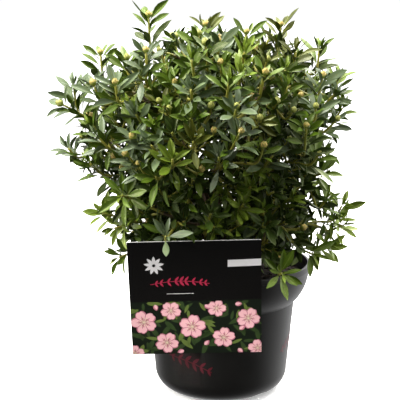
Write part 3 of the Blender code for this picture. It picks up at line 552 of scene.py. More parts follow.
def placed(name, mesh, finish):
    obj = bpy.data.objects.new(name, mesh)
    bpy.context.scene.collection.objects.link(obj)
    if finish:
        mesh.materials.append(finish)
    return obj


def piece(obj, slot, *replaced):
    """Attaches a finished piece to the root body and hides the CAD nodes that it replaces."""
    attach(obj, "root")
    if replaced:
        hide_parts(*replaced)
    return obj


def angles(count):
    """Angles spaced evenly round a circle."""
    return [2 * math.pi * k / count for k in range(count)]


def around(count):
    """The numbers below a count, each with the next one round a circle."""
    return [(k, (k + 1) % count) for k in range(count)]


def from_front(azimuth, radius=1.0, height=0.0):
    """The point at an azimuth from the front towards +X."""
    return Vector((radius * math.sin(azimuth), -radius * math.cos(azimuth), height))


def shares(steps):
    """Shares from nought to one in even steps."""
    return [i / steps for i in range(steps + 1)]


def turned(profile, sides):
    """Points and faces of a closed solid turned about Z. The profile starts and ends on the axis."""
    points = [Vector((0, 0, profile[0][1]))]
    for radius, height in profile[1:-1]:
        points.extend(from_front(angle, radius, height) for angle in angles(sides))
    points.append(Vector((0, 0, profile[-1][1])))
    last = len(points) - 1
    top = last - sides
    faces = []
    for k, after in around(sides):
        faces.append((0, 1 + after, 1 + k))
        for low in range(1, top, sides):
            faces.append((low + k, low + after, low + sides + after, low + sides + k))
        faces.append((top + k, top + after, last))
    return points, faces


def ring_faces(rings, sides, start=0):
    """Faces of a closed tube of rings, as triangles, its ends filled by fans."""
    faces = []
    top = start + (rings - 1) * sides
    for low in range(start, top, sides):
        for k, after in around(sides):
            faces.append((low + k, low + after, low + sides + after))
            faces.append((low + k, low + sides + after, low + sides + k))
    for k in range(1, sides - 1):
        faces.append((start, start + k + 1, start + k))
        faces.append((top, top + k, top + k + 1))
    return faces


def tube_rings(path, radii, sides):
    """Rings of points round a path, carried along it without twisting."""
    points = []
    side = None
    for i, (centre, radius) in enumerate(zip(path, radii)):
        ahead = (path[min(i + 1, len(path) - 1)] - path[max(i - 1, 0)]).normalized()
        side = ahead.orthogonal() if side is None else side - ahead * side.dot(ahead)
        side.normalize()
        across = ahead.cross(side)
        points.extend(centre + (side * math.cos(a) + across * math.sin(a)) * radius for a in angles(sides))
    return points


class Tubes:
    """Closed tubes gathered into one mesh."""

    def __init__(self):
        self.points = []
        self.faces = []

    def add(self, rings, sides):
        """Adds a tube, given as the points of its rings one after another."""
        self.faces.extend(ring_faces(len(rings) // sides, sides, len(self.points)))
        self.points.extend(rings)

    def build(self, name, finish):
        return array_object(name, np.array([tuple(p) for p in self.points]), np.array(self.faces), finish)


BOX_QUADS = ((0, 2, 3, 1), (4, 5, 7, 6), (0, 1, 5, 4), (2, 6, 7, 3), (0, 4, 6, 2), (1, 3, 7, 5))


def box_faces(start):
    return [tuple(start + corner for corner in quad) for quad in BOX_QUADS]


def box_corners(low, high):
    """A box's corners, in the order that BOX_QUADS numbers them: X changes fastest and Z slowest."""
    xs, ys, zs = zip(low, high)
    return [Vector((x, y, z)) for z in zs for y in ys for x in xs]


def spline(controls, radii, step):
    """A smooth path through control points, with a point about every step, and its radii."""
    path, sizes, knots = [controls[0]], [radii[0]], [0]
    for i in range(len(controls) - 1):
        before = controls[max(i - 1, 0)]
        a, b = controls[i], controls[i + 1]
        after = controls[min(i + 2, len(controls) - 1)]
        for t in shares(max(2, round((b - a).length / step)))[1:]:
            bow = (b - before) * (t - 2 * t * t + t**3) + (after - a) * (t**3 - t * t)
            path.append(a * (1 - 3 * t * t + 2 * t**3) + b * (3 * t * t - 2 * t**3) + bow * 0.5)
            sizes.append(radii[i] + (radii[i + 1] - radii[i]) * t)
        knots.append(len(path) - 1)
    return path, sizes, knots


def eased(path, first, passes):
    """Softens the bends of a path past its point number first, without moving that point or the end."""
    for _ in range(passes):
        inner = range(first + 1, len(path) - 1)
        path[first + 1 : -1] = [(path[i - 1] + path[i] * 2 + path[i + 1]) / 4 for i in inner]
    return path


def end_way(path):
    """The direction in which a path ends."""
    return (path[-1] - path[-2]).normalized()


def leaning(way, turn, degrees):
    """A direction that leans off another one by an angle, to the side that a turn about it gives."""
    side = Matrix.Rotation(turn, 3, way) @ way.orthogonal().normalized()
    return way * math.cos(math.radians(degrees)) + side * math.sin(math.radians(degrees))


def random_vector(rng):
    return Vector([rng.uniform(-1, 1) for _ in range(3)])


def between(a, b, share):
    """The point a share of the way from one point of a plane to another."""
    return tuple(p + (q - p) * share for p, q in zip(a, b))


def read_off(table, height):
    """What a table gives at a height. Each of its rows starts with its height."""
    for low, high in zip(table, table[1:]):
        if height <= high[0]:
            return between(low[1:], high[1:], max(0.0, (height - low[0]) / (high[0] - low[0])))
    return table[-1][1:]


# Container and compost


def wall_points(wall, steps):
    """The container's side from its base to under its lip, a wall's thickness inside its outer face."""
    return [*shoulder_points(wall, steps[0]), *collar_points(wall, steps[1])]


def shoulder_points(wall, steps):
    reach = SHOULDER_RADIUS - wall
    turns = [math.pi / 2 * i / steps for i in range(steps + 1)]
    return [(FOOT_RADIUS + reach * math.sin(a), SHOULDER_RADIUS - reach * math.cos(a)) for a in turns]


def collar_points(wall, steps):
    crease = (NECK_RADIUS - wall, NECK_HEIGHT)
    swell = (RIM_RADIUS - COLLAR_SWELL[0] - wall, NECK_HEIGHT + COLLAR_SWELL[1])
    lip = (RIM_RADIUS - COLLAR_TOP[0] - wall, POT_HEIGHT - COLLAR_TOP[1])
    return [between(between(crease, swell, s), between(swell, lip, s), s) for s in shares(steps)]


def lip_points():
    """The turned-out lip, with a fine rounding on its lower and upper edges."""
    foot = POT_HEIGHT - LIP_HEIGHT
    points = [(RIM_RADIUS - LIP_STEP[0], foot - LIP_STEP[1]), (RIM_RADIUS, foot)]
    for i in range(LIP_STEPS + 1):
        angle = math.pi / 2 * i / LIP_STEPS
        out = RIM_RADIUS - LIP_BEVEL + LIP_BEVEL * math.cos(angle)
        points.append((out, POT_HEIGHT - LIP_BEVEL + LIP_BEVEL * math.sin(angle)))
    return points


def inner_wall():
    inside = wall_points(WALL, INNER_STEPS)
    inside.append((RIM_RADIUS - RIM_THICKNESS, POT_HEIGHT - LIP_HEIGHT))
    inside.append((RIM_RADIUS - RIM_THICKNESS, POT_HEIGHT + CUTTER_REACH))
    above = [p for p in inside if p[1] > WALL]
    return [(0, WALL), (above[0][0], WALL), *above, (0, POT_HEIGHT + CUTTER_REACH)]


def cutter(name, points, faces, home):
    obj = mesh_object(name, points, faces, None, smooth=False)
    bpy.context.scene.collection.objects.unlink(obj)
    home.objects.link(obj)
    return obj


def cutter_collection(name):
    made = bpy.data.collections.new(name)
    bpy.context.scene.collection.children.link(made)
    return made


def channel_bars(name, extra):
    """Round-topped bars along the drainage channels, larger than these by an extra."""
    bars = cutter_collection(name)
    half = CHANNEL_HALF_WIDTH + extra
    around_bar = CHANNEL_STEPS + 3
    for number, azimuth in enumerate(CHANNEL_AZIMUTHS):
        points = []
        for reach in (CHANNEL_START - extra, NECK_RADIUS + CUTTER_REACH):
            for i in range(CHANNEL_STEPS + 1):
                angle = math.pi * i / CHANNEL_STEPS
                height = (CHANNEL_HEIGHT + extra) * math.sin(angle)
                points.append(Vector((half * math.cos(angle), -reach, height)))
            points.append(Vector((-half, -reach, -CUTTER_REACH)))
            points.append(Vector((half, -reach, -CUTTER_REACH)))
        faces = [tuple(reversed(range(around_bar))), tuple(range(around_bar, 2 * around_bar))]
        faces.extend((k, after, around_bar + after, around_bar + k) for k, after in around(around_bar))
        turn = Matrix.Rotation(math.radians(azimuth), 3, "Z")
        cutter(f"{name}_{number}", [turn @ p for p in points], faces, bars)
    return bars


def drain_holes():
    holes = cutter_collection("drains")
    for azimuth in CHANNEL_AZIMUTHS:
        for side in (-DRAIN_SPREAD, DRAIN_SPREAD):
            axis = from_front(math.radians(azimuth + side), DRAIN_RING)
            path = [axis - CUTTER_REACH * UP, axis + (CHANNEL_HEIGHT + WALL + CUTTER_REACH) * UP]
            points = tube_rings(path, [DRAIN_RADIUS] * 2, DRAIN_SIDES)
            cutter(f"drain_{azimuth}_{side}", points, ring_faces(2, DRAIN_SIDES), holes)
    return holes


def difference(obj, other):
    modifier = obj.modifiers.new("cut", "BOOLEAN")
    modifier.operation = "DIFFERENCE"
    modifier.solver = "MANIFOLD"
    if isinstance(other, bpy.types.Collection):
        modifier.operand_type = "COLLECTION"
        modifier.collection = other
    else:
        modifier.object = other


def remove_cutters(*collections):
    for holder in collections:
        for obj in list(holder.objects):
            bpy.data.objects.remove(obj)
        bpy.data.collections.remove(holder)


def build_pot():
    outer = [(0, 0), *wall_points(0, OUTER_STEPS), *lip_points(), (0, POT_HEIGHT)]
    pot = mesh_object("pot_shell", *turned(outer, POT_SIDES), finish_for("pot", Specular_IOR_Level=0.5))
    inside = cutter_collection("inside")
    cavity = cutter("cavity", *turned(inner_wall(), POT_SIDES), inside)
    roofs, channels, drains = channel_bars("roofs", WALL), channel_bars("channels", 0), drain_holes()
    difference(cavity, roofs)
    for other in (channels, cavity, drains):
        difference(pot, other)
    graph = bpy.context.evaluated_depsgraph_get()
    finished = bpy.data.meshes.new_from_object(pot.evaluated_get(graph))
    pot.modifiers.clear()
    pot.data = finished
    remove_cutters(inside, roofs, channels, drains)
    finished.shade_smooth()
    finished.set_sharp_from_angle(angle=POT_SHARP_ANGLE)
    piece(pot, "pot_plastic", "pot")
    build_decals()


def build_decals():
    """Sprigs printed on the container in dull red, each outline filled by a fan that follows the wall."""
    wall = [(height, radius) for radius, height in wall_points(0, OUTER_STEPS)]
    points, faces = [], []
    for azimuth, height, length, tilt in POT_SPRIGS:
        stem, leaves = sprig(length, *POT_SPRIG_FORM)
        turn = math.radians(tilt)
        for outline in (*strips(stem), *leaves):
            middle = tuple(sum(p[i] for p in outline) / len(outline) for i in (0, 1))
            start = len(points)
            for x, z in (middle, *outline):
                up = height + x * math.sin(turn) + z * math.cos(turn)
                radius = read_off(wall, up)[0] + DECAL_LIFT
                angle = math.radians(azimuth) + (x * math.cos(turn) - z * math.sin(turn)) / radius
                points.append(from_front(angle, radius, up))
            faces.extend((start, start + 1 + k, start + 1 + after) for k, after in around(len(outline)))
    piece(mesh_object("pot_print", points, faces, finish_for("pot_print")), "pot_plastic")


def strips(band):
    """A band whose two edges run there and back, cut into quads."""
    half = len(band) // 2
    there, back = band[:half], band[:half - 1:-1]
    return [(there[i], back[i], back[i + 1], there[i + 1]) for i in range(half - 1)]


def soil_point(radius, angle):
    """A point on the compost's crumbly surface."""
    x, y = radius * math.cos(angle), radius * math.sin(angle)
    crown = SOIL_CROWNING * max(0.0, 1 - (radius / SOIL_CROWN_RADIUS) ** 2)
    lumps = sum(noise.noise(Vector((x, y, seed)) * scale) * height for seed, scale, height in SOIL_LUMPS)
    return Vector((x, y, SOIL_LEVEL - SOIL_SINK + crown + lumps))


def build_compost():
    points = [soil_point(0, 0)]
    for share in shares(SOIL_RINGS)[1:]:
        points.extend(soil_point(SOIL_EDGE * share, angle) for angle in angles(SOIL_SIDES))
    points.extend([Vector((p.x, p.y, SOIL_LEVEL - SOIL_DEPTH)) for p in points[-SOIL_SIDES:]])
    faces = [(0, 1 + k, 1 + after) for k, after in around(SOIL_SIDES)]
    bottom = 1 + SOIL_RINGS * SOIL_SIDES
    for low in range(1, bottom, SOIL_SIDES):
        high = low + SOIL_SIDES
        faces.extend((low + k, high + k, high + after, low + after) for k, after in around(SOIL_SIDES))
    faces.append(tuple(bottom + k for k in reversed(range(SOIL_SIDES))))
    piece(mesh_object("compost_bed", points, faces, finish_for("compost")), "compost", "compost")
    build_chips()


def build_chips():
    """Scraps of bark that lie on the compost."""
    rng = random.Random(SEED + 5)
    for kind, count in CHIPS:
        points, faces = [], []
        for _ in range(count):
            radius = SOIL_EDGE * math.sqrt(rng.uniform(*CHIP_SPREAD))
            place = soil_point(radius, rng.uniform(0, 2 * math.pi))
            size = rng.uniform(*CHIP_SIZES)
            turn = Matrix.Rotation(rng.uniform(0, math.pi), 3, "Z")
            spin = turn @ Matrix.Rotation(rng.uniform(-CHIP_TILT, CHIP_TILT), 3, "X")
            centre = place + UP * size * CHIP_RISE
            faces.extend(box_faces(len(points)))
            for signs in box_corners((-1, -1, -1), (1, 1, 1)):
                corner = [s * size * share * rng.uniform(*CHIP_WEAR) for s, share in zip(signs, CHIP_SHAPE)]
                points.append(centre + spin @ Vector(corner))
        chips = mesh_object(f"chips_{kind}", points, faces, finish_for(f"chip_{kind}"), smooth=False)
        piece(chips, "compost")


# Card


def card_frame():
    """The card's placing: X to its right, Y into its back, Z up its height, origin on the rim contact."""
    lean = Matrix.Rotation(math.radians(CARD_LEAN), 4, "X")
    roll = Matrix.Rotation(math.radians(-CARD_ROLL), 4, "Y")
    rest = Vector((CARD_OFFSET, -RIM_RADIUS - GAP - CARD_THICKNESS, CARD_REST_HEIGHT))
    return Matrix.Translation(rest) @ lean @ roll


CARD_FRAME = card_frame()
TO_CARD = CARD_FRAME.inverted()


def card_corners():
    low = Vector((-CARD_WIDTH / 2, 0, CARD_ABOVE_REST - CARD_HEIGHT))
    high = Vector((CARD_WIDTH / 2, CARD_THICKNESS, CARD_ABOVE_REST))
    return low, high


def hook_boxes():
    inside = -RIM_RADIUS + RIM_THICKNESS + HOOK_SLACK
    over = POT_HEIGHT + GAP
    rise_at_bridge = math.tan(math.radians(CARD_LEAN)) * (over - CARD_REST_HEIGHT)
    outside = -RIM_RADIUS - GAP - CARD_THICKNESS * HOOK_ROOT - rise_at_bridge
    half = HOOK_WIDTH / 2
    far = inside + CARD_THICKNESS
    bridge = (Vector((-half, outside, over)), Vector((half, far, over + CARD_THICKNESS)))
    drop = (Vector((-half, inside, over - HOOK_DROP)), Vector((half, far, over + CARD_THICKNESS / 2)))
    return bridge, drop


class Print:
    """Flat shapes of one ink, laid on the card's face as one layer of its print."""

    def __init__(self, layer):
        self.points = []
        self.faces = []
        self.depth = -PRINT_STEP * layer

    def shape(self, outline):
        start = len(self.points)
        self.points.extend(CARD_FRAME @ Vector((x, self.depth, z)) for x, z in outline)
        self.faces.append(tuple(range(start, len(self.points))))

    def build(self, name, ink_name):
        piece(mesh_object(name, self.points, self.faces, ink(ink_name), smooth=False), "card")


def rounded_rectangle(left, bottom, right, top, corner, steps=5):
    east, west, north, south = right - corner, left + corner, top - corner, bottom + corner
    outline = []
    for cx, cz, first in ((east, south, -90), (east, north, 0), (west, north, 90), (west, south, 180)):
        for i in range(steps + 1):
            angle = math.radians(first + 90 * i / steps)
            outline.append((cx + corner * math.cos(angle), cz + corner * math.sin(angle)))
    return outline


def moved(outline, place, way):
    """An outline about the origin, turned by an angle and moved to a place."""
    cos, sin = math.cos(way), math.sin(way)
    return [(place[0] + x * cos - z * sin, place[1] + x * sin + z * cos) for x, z in outline]


def petal(place, way, length, width, steps=9):
    """A petal or leaf with a pointed foot and a round tip, in the card's plane."""
    side = [(t * length, width / 2 * math.sin(math.pi * t**0.8) ** 0.8) for t in shares(steps)[1:-1]]
    back = [(x, -z) for x, z in reversed(side)]
    return moved([(0, 0), *side, (length, 0), *back], place, way)


def notched_petal(place, way, length, width, steps=12):
    """A petal with a narrow foot, a broad round end and a small notch in it."""
    outline = [(0.0, 0.0)]
    for share in shares(steps):
        angle = math.pi * (share - 0.5)
        notch = 0.10 * math.exp(-((angle / 0.28) ** 2))
        outline.append((length * (0.56 + (0.44 - notch) * math.cos(angle)), width / 2 * math.sin(angle)))
    return moved(outline, place, way)


def disc(place, radius, sides=14):
    return [(place[0] + radius * math.cos(a), place[1] + radius * math.sin(a)) for a in angles(sides)]


def build_card():
    low, high = card_corners()
    outline = rounded_rectangle(low.x, low.z, high.x, high.z, CARD_CORNER)
    count = len(outline)
    points = [CARD_FRAME @ Vector((x, y, z)) for y in (0, CARD_THICKNESS) for x, z in outline]
    faces = [tuple(range(count)), tuple(reversed(range(count, 2 * count)))]
    faces.extend((k, count + k, count + after, after) for k, after in around(count))
    for corners in hook_boxes():
        faces.extend(box_faces(len(points)))
        points.extend(box_corners(*corners))
    piece(mesh_object("card_stock", points, faces, ink("card_stock"), smooth=False), "card", "card")
    build_print(low, high)


def build_print(low, high):
    """A generic print: a dark panel with a whorl, a sprig and a rule, and a band of open flowers."""
    band_top = low.z + CARD_HEIGHT * BLOSSOM_BAND
    panel, ground, label = Print(1), Print(2), Print(3)
    panel.shape(rounded_rectangle(low.x, low.z, high.x, high.z - BARE_EDGE, CARD_CORNER))
    ground.shape([(low.x, low.z), (high.x, low.z), (high.x, band_top + BAND_RISE), (low.x, band_top)])
    ends = list(zip((LABEL_LEFT, high.x), LABEL_BOTTOM))
    label.shape([*ends, *[(x, z + LABEL_HEIGHT) for x, z in reversed(ends)]])
    panel.build("print_panel", "print_black")
    ground.build("print_ground", "print_ground")
    build_flowers(low.x, high.x, low.z, band_top)
    build_sprig(label)
    label.build("print_label", "print_white")


def build_flowers(left, right, bottom, top):
    """Leaves behind, then buds and open blossoms, each flower's parts on layers of their own."""
    rng = random.Random(SEED + 9)
    drawn = {name: Print(3 + layer) for layer, name in enumerate(FLOWER_LAYERS)}

    def draw(name, outline):
        """Draws an outline, held inside the band."""
        drawn[name].shape([(min(max(x, left), right), min(max(z, bottom), top)) for x, z in outline])

    def spot(across, up):
        return left + (right - left) * across, bottom + (top - bottom) * up

    for name, count in PRINTED_LEAVES:
        for _ in range(count):
            place = spot(rng.random(), rng.random())
            length = rng.uniform(*PRINTED_LEAF_LENGTHS)
            draw(name, petal(place, rng.uniform(0, 2 * math.pi), length, length * PRINTED_LEAF_SLIM))
    for across, up in BLOSSOM_BUDS:
        place = spot(across, up)
        way = rng.uniform(0, 2 * math.pi)
        draw("print_shade", petal(place, way, *PRINTED_BUD[0]))
        draw("print_petal", petal(place, way + 0.12, *PRINTED_BUD[1]))
    for across, up, size in BLOSSOMS:
        place = spot(across, up)
        turn = rng.uniform(0, 2 * math.pi)
        for angle in angles(PETALS):
            way = turn + angle
            draw("print_shade", notched_petal(place, way, size, size * PETAL_EDGE))
            draw("print_petal", notched_petal(place, way + 0.04, *[size * share for share in PETAL_FACE]))
            for fan, reach in PETAL_STREAKS:
                draw("print_rose", petal(place, way + fan, size * reach, size * 0.10))
        draw("print_rose", disc(place, size * 0.13))
        for k in range(2 * PETALS):
            way = turn + math.pi * (k + 0.5) / PETALS
            reach = size * rng.uniform(*ANTHER_REACH)
            draw("print_eye", petal(place, way, reach, size * 0.035))
            draw("print_eye", disc(moved([(reach, 0)], place, way)[0], size * 0.045, 8))
    for name, piece_name in FLOWER_LAYERS.items():
        drawn[name].build(piece_name, name)


def sprig(length, leaf_length, bow, pairs):
    """A leafy sprig about the origin, as outlines in a plane: its stem, and its leaves in pairs."""
    line = [(length * (share - 0.5), bow * math.sin(math.pi * share)) for share in shares(SPRIG_STEPS)]
    half = leaf_length * 0.05
    stem = [(x, z + half) for x, z in line] + [(x, z - half) for x, z in reversed(line)]
    leaves = []
    for pair in range(pairs):
        place = line[2 + round((SPRIG_STEPS - 4) * pair / (pairs - 1))]
        size = leaf_length * (1 - 0.35 * abs(2 * pair / (pairs - 1) - 1))
        leaves.extend(petal(place, side * SPRIG_LEAF_ANGLE, size, size * 0.36) for side in (1, -1))
    return stem, leaves


def build_sprig(white):
    """A pink leafy sprig with an off-white whorl above it and a short off-white rule below."""
    pink = Print(3)
    stem, leaves = sprig(SPRIG_LENGTH, *SPRIG_FORM)
    for outline in (stem, *leaves):
        pink.shape(moved(outline, SPRIG_PLACE, 0))
    for angle in angles(WHORL_PETALS):
        way = math.pi / 2 + angle
        white.shape(petal(moved([(WHORL_HEART, 0)], WHORL_PLACE, way)[0], way, *WHORL_PETAL))
    white.shape([(RULE[x], RULE[z]) for x, z in ((0, 1), (2, 1), (2, 3), (0, 3))])
    pink.build("print_sprig", "print_pink")


# Crown: masses and shoot tips


def section(height):
    """Radius of the crown's outline at a height, and the sideways lean of its axis."""
    return read_off(CROWN_PROFILE, height)


def bent(start, control, end, share):
    return start.lerp(control, share).lerp(control.lerp(end, share), share)


def trunk_axis(height):
    share = (height - TRUNK_FOOT.z) / (TRUNK_TOP.z - TRUNK_FOOT.z)
    return TRUNK_FOOT.lerp(TRUNK_TOP, share)


def in_cell(point, mass, masses, margin):
    for other in masses:
        if other is mass:
            continue
        away = other["centre"] - mass["centre"]
        if (point - (mass["centre"] + other["centre"]) / 2).dot(away.normalized()) > -margin:
            return False
    return True


def mass_plan():
    """Each mass of foliage: its name, its cell's centre and its bough's curve."""
    plan = []
    for ring, height, radius, count, first, foot_height, rise in MASS_RINGS:
        for k in range(count):
            outward = from_front(math.radians(first + 360 * k / count))
            lean = section(height)[1]
            centre = Vector((lean, 0, height)) + outward * radius
            leave = outward * math.cos(math.radians(rise)) + UP * math.sin(math.radians(rise))
            plan.append((f"{ring}_{k + 1}", centre, trunk_axis(foot_height), leave))
    plan.append(("top", TOP_MASS_CENTRE, TRUNK_TOP, UP))
    masses = [{"name": name, "centre": centre} for name, centre, _, _ in plan]
    for mass, (_, centre, foot, leave) in zip(masses, plan):
        ends = [HEART.lerp(centre, share) for share in ENTRY_SHARES]
        end = next(point for point in ends if in_cell(point, mass, masses, ENTRY_MARGIN))
        control = foot + leave * (end - foot).length * BOUGH_SWEEP
        mass["curve"] = (foot, control, end)
        mass["path"] = [bent(foot, control, end, step / BOUGH_STEPS) for step in range(BOUGH_STEPS + 1)]
    return masses


def envelope_table(steps=160):
    """Heights up the envelope, with the share of its surface that lies below each."""
    low, high = CROWN_PROFILE[0][0], CROWN_PROFILE[-1][0]
    heights = [low + (high - low) * i / steps for i in range(steps + 1)]
    below = [0.0]
    for a, b in zip(heights, heights[1:]):
        ra, rb = section(a)[0], section(b)[0]
        below.append(below[-1] + (ra + rb) * math.hypot(rb - ra, b - a))
    return heights, [part / below[-1] for part in below]


def outward_at(point):
    return Vector((point.x - section(point.z)[1], point.y, 0)).normalized()


def heading_at(point, rng):
    """The direction a shoot points in where it ends: outwards low down, upwards near the top."""
    jitter = random_vector(rng) * HEADING_JITTER
    return (outward_at(point) + UP * read_off(LIFTS, point.z)[0] + jitter).normalized()


def spiral_tips(count, depths, rng, first):
    """Tips spread evenly over the envelope in a golden-angle spiral, at seeded depths."""
    heights, below = envelope_table()
    tips = []
    for k in range(count):
        share = (k + 0.5) / count
        step = next(i for i, part in enumerate(below) if part >= share)
        within = (share - below[step - 1]) / (below[step] - below[step - 1])
        height = heights[step - 1] + (heights[step] - heights[step - 1]) * within
        radius, lean = section(height)
        angle = first + k * GOLDEN_ANGLE
        depth = rng.uniform(*depths)
        reach = radius * depth
        if height > HEART.z:
            height = HEART.z + (height - HEART.z) * (DEPTH_SINK[0] + DEPTH_SINK[1] * depth)
        tips.append(Vector((lean + reach * math.sin(angle), -reach * math.cos(angle), height)))
    return tips


def new_shoot(bud, heading, inner=False, end=None, colour=None):
    return {"bud": bud, "heading": heading, "inner": inner, "end": end, "colour": colour}


def all_shoots():
    """Every shoot: its bud's place, its heading, whether it lies in the crown's shade and what ends it."""
    rng = random.Random(SEED)
    leading = []
    for place, way, end, colour in LEADING_SHOOTS:
        heading = Vector(way).normalized()
        bud = Vector(place) - heading * LEADING_BACK
        leading.append(new_shoot(bud, heading, end=end, colour=colour))
    shoots = list(leading)
    for tip in spiral_tips(SHOOTS, SHOOT_DEPTHS, rng, 0.0):
        heading = heading_at(tip, rng)
        if tip.z > THIN_ABOVE and rng.random() < THIN_SHARE:
            continue
        bud = tip - heading * OVERHANG - outward_at(tip) * INSET
        if all((bud - other["bud"]).length > LEADING_ROOM for other in leading):
            shoots.append(new_shoot(bud, heading))
    for tip in spiral_tips(INNER_SHOOTS, INNER_DEPTHS, rng, 1.0):
        heading = heading_at(tip, rng)
        shoots.append(new_shoot(tip - heading * OVERHANG, heading, inner=True))
    return shoots


# Crown: what keeps clear of what


def clear_of_container(point):
    over_rim = point.z > POT_HEIGHT + KEEP_OFF_POT
    outside = math.hypot(point.x, point.y) > RIM_RADIUS + KEEP_OFF_POT
    return over_rim or outside


def misses_box(start, end, low, high):
    """True if the run between two points passes a box with room to spare."""
    enter, leave = 0.0, 1.0
    for i in range(3):
        rise = end[i] - start[i] or 1e-9
        crossings = (low[i] - KEEP_OFF_CARD - start[i]) / rise, (high[i] + KEEP_OFF_CARD - start[i]) / rise
        enter, leave = max(enter, min(crossings)), min(leave, max(crossings))
    return enter > leave


def clear_of_card(start, end):
    beside_card = misses_box(TO_CARD @ start, TO_CARD @ end, *card_corners())
    return beside_card and all(misses_box(start, end, *corners) for corners in hook_boxes())


def clear_of_boughs(middle, room, boughs):
    """True if a point keeps off every bough. boughs is an array of points along them with their radii."""
    offsets = boughs[:, :3] - np.array(middle)
    return bool((np.einsum("ij,ij->i", offsets, offsets) > (boughs[:, 3] + room) ** 2).all())


# Crown: twigs


def twig_radius(carried):
    return TIP_RADIUS * carried**TWIG_POWER


def middle_of(shoots):
    return sum((s["bud"] for s in shoots), Vector()) / len(shoots)


def split_shoots(shoots, groups):
    """Shoots shared out among a few seeds that lie far apart."""
    middle = middle_of(shoots)
    seeds = [max(shoots, key=lambda s: (s["bud"] - middle).length)["bud"]]
    while len(seeds) < min(groups, len(shoots)):
        seeds.append(max(shoots, key=lambda s: min((s["bud"] - seed).length for seed in seeds))["bud"])
    shared = [[] for _ in seeds]
    for shoot in shoots:
        nearest = min(range(len(seeds)), key=lambda i: (shoot["bud"] - seeds[i]).length)
        shared[nearest].append(shoot)
    return [group for group in shared if group]


def grow(path, radii, leaving, shoots, twigs):
    """Carries the twig at the end of path on to its tips. The straightest group goes on, others branch."""
    start = path[-1]
    if len(shoots) == 1:
        shoot = shoots[0]
        bud = shoot["bud"]
        reach = (bud - start).length
        straight = LEADING_STRAIGHT if shoot["end"] else STRAIGHT
        approach = bud - shoot["heading"] * min(reach * 0.5, straight)
        halfway = (start + leaving * reach * TIP_STEER).lerp(approach, 0.5)
        path.extend([halfway, approach, bud])
        radii.extend(twig_radius(1) * thickening for thickening in (*TIP_THICKENING, 1))
        twigs.append((path, radii, shoot))
        return
    middle = middle_of(shoots)
    heading = (middle - start).normalized()
    ahead = leaving.lerp(heading, FORK_STEER).normalized()
    fork = start + ahead * (middle - start).length * FORK_SHARE
    groups = split_shoots(shoots, FORKS)
    groups.sort(key=lambda g: -(middle_of(g) - fork).normalized().dot(heading))
    for number, group in enumerate(groups):
        towards = (middle_of(group) - fork).normalized()
        on = (heading + towards).normalized()
        if number == 0:
            grow([*path, fork], [*radii, twig_radius(len(shoots))], on, group, twigs)
        else:
            grow([fork], [twig_radius(len(group)) * BRANCH_THINNING], on, group, twigs)


def path_lengths(path):
    """Distance from each point of a path to its end."""
    lengths = [0.0]
    for a, b in zip(reversed(path[1:]), reversed(path[:-1])):
        lengths.append(lengths[-1] + (a - b).length)
    return lengths[::-1]


def point_before_tip(path, lengths, distance):
    """The point on a path at a distance before its end, and the direction there."""
    for i in range(len(path) - 1, 0, -1):
        if lengths[i - 1] >= distance:
            share = (distance - lengths[i]) / (lengths[i - 1] - lengths[i])
            return path[i].lerp(path[i - 1], share), (path[i] - path[i - 1]).normalized()
    return path[0].copy(), (path[1] - path[0]).normalized()


# Crown: leaves and buds


def half_width(share):
    """Half the width of a leaf at a share of its length: a narrow foot, widest past the middle, a point."""
    return 0.5 * math.sin(math.pi * share**LEAF_WIDEST_POWER) ** 0.95 if 0 < share < 1 else 0.0


def leaf_templates():
    """Blades and ribs in a leaf's own frame: X along, in lengths, Y across, in widths, Z up, in lengths."""
    rng = random.Random(SEED + 2)
    blades, ribs = [], []
    for _ in range(LEAF_VARIANTS):
        fold, arch, roll, sway, twist = [rng.uniform(*limits) for limits in LEAF_FORMS]

        def spot(share, across):
            half = half_width(share)
            x = PETIOLE_SHARE + (1 - PETIOLE_SHARE) * share
            y = across * half + sway * share * share
            z = arch * share * share + abs(across) * half * fold - roll * across**4 * half
            return x, y, z + twist * share * across * half * 0.5

        inner = [spot(share, across) for share in LEAF_STATIONS[1:-1] for across in LEAF_ACROSS]
        blades.append([spot(0.0, 0.0), *inner, spot(1.0, 0.0)])
        rib = []
        for share, thick in RIB_STATIONS:
            x, y, z = spot(max(share, 0.0), 0.0)
            foot = x if share >= 0 else 0.0
            rib.extend((foot, y + out * thick, z + up * thick) for out, up in RIB_CORNERS)
        ribs.append(rib)
    return np.array(blades), np.array(ribs)


def blade_triangles():
    width = len(LEAF_ACROSS)
    last = 1 + (len(LEAF_STATIONS) - 2) * width
    triangles = []
    for k in range(1, width):
        triangles.append((0, k + 1, k))
        for low in range(k, last - width, width):
            triangles.append((low, low + 1, low + width + 1))
            triangles.append((low, low + width + 1, low + width))
        top = last - width - 1 + k
        triangles.append((top, top + 1, last))
    return np.array(triangles)


def bud_radius(share):
    """Radius of a bud at a share of its length, in its greatest radii."""
    return math.sin(math.pi * min(max(share, 0.04), 0.985) ** 0.85) ** 0.72


def bud_core():
    """The egg-shaped body of a bud, in its own frame: X along, in lengths, Y and Z across, in radii."""
    points = []
    for ring in range(BUD_RINGS):
        share = (ring + 0.2) / (BUD_RINGS - 0.6)
        radius = bud_radius(share) * 0.92
        points.extend((share, radius * math.cos(a), radius * math.sin(a)) for a in angles(BUD_SIDES))
    return np.array([points]), np.array(ring_faces(BUD_RINGS, BUD_SIDES))


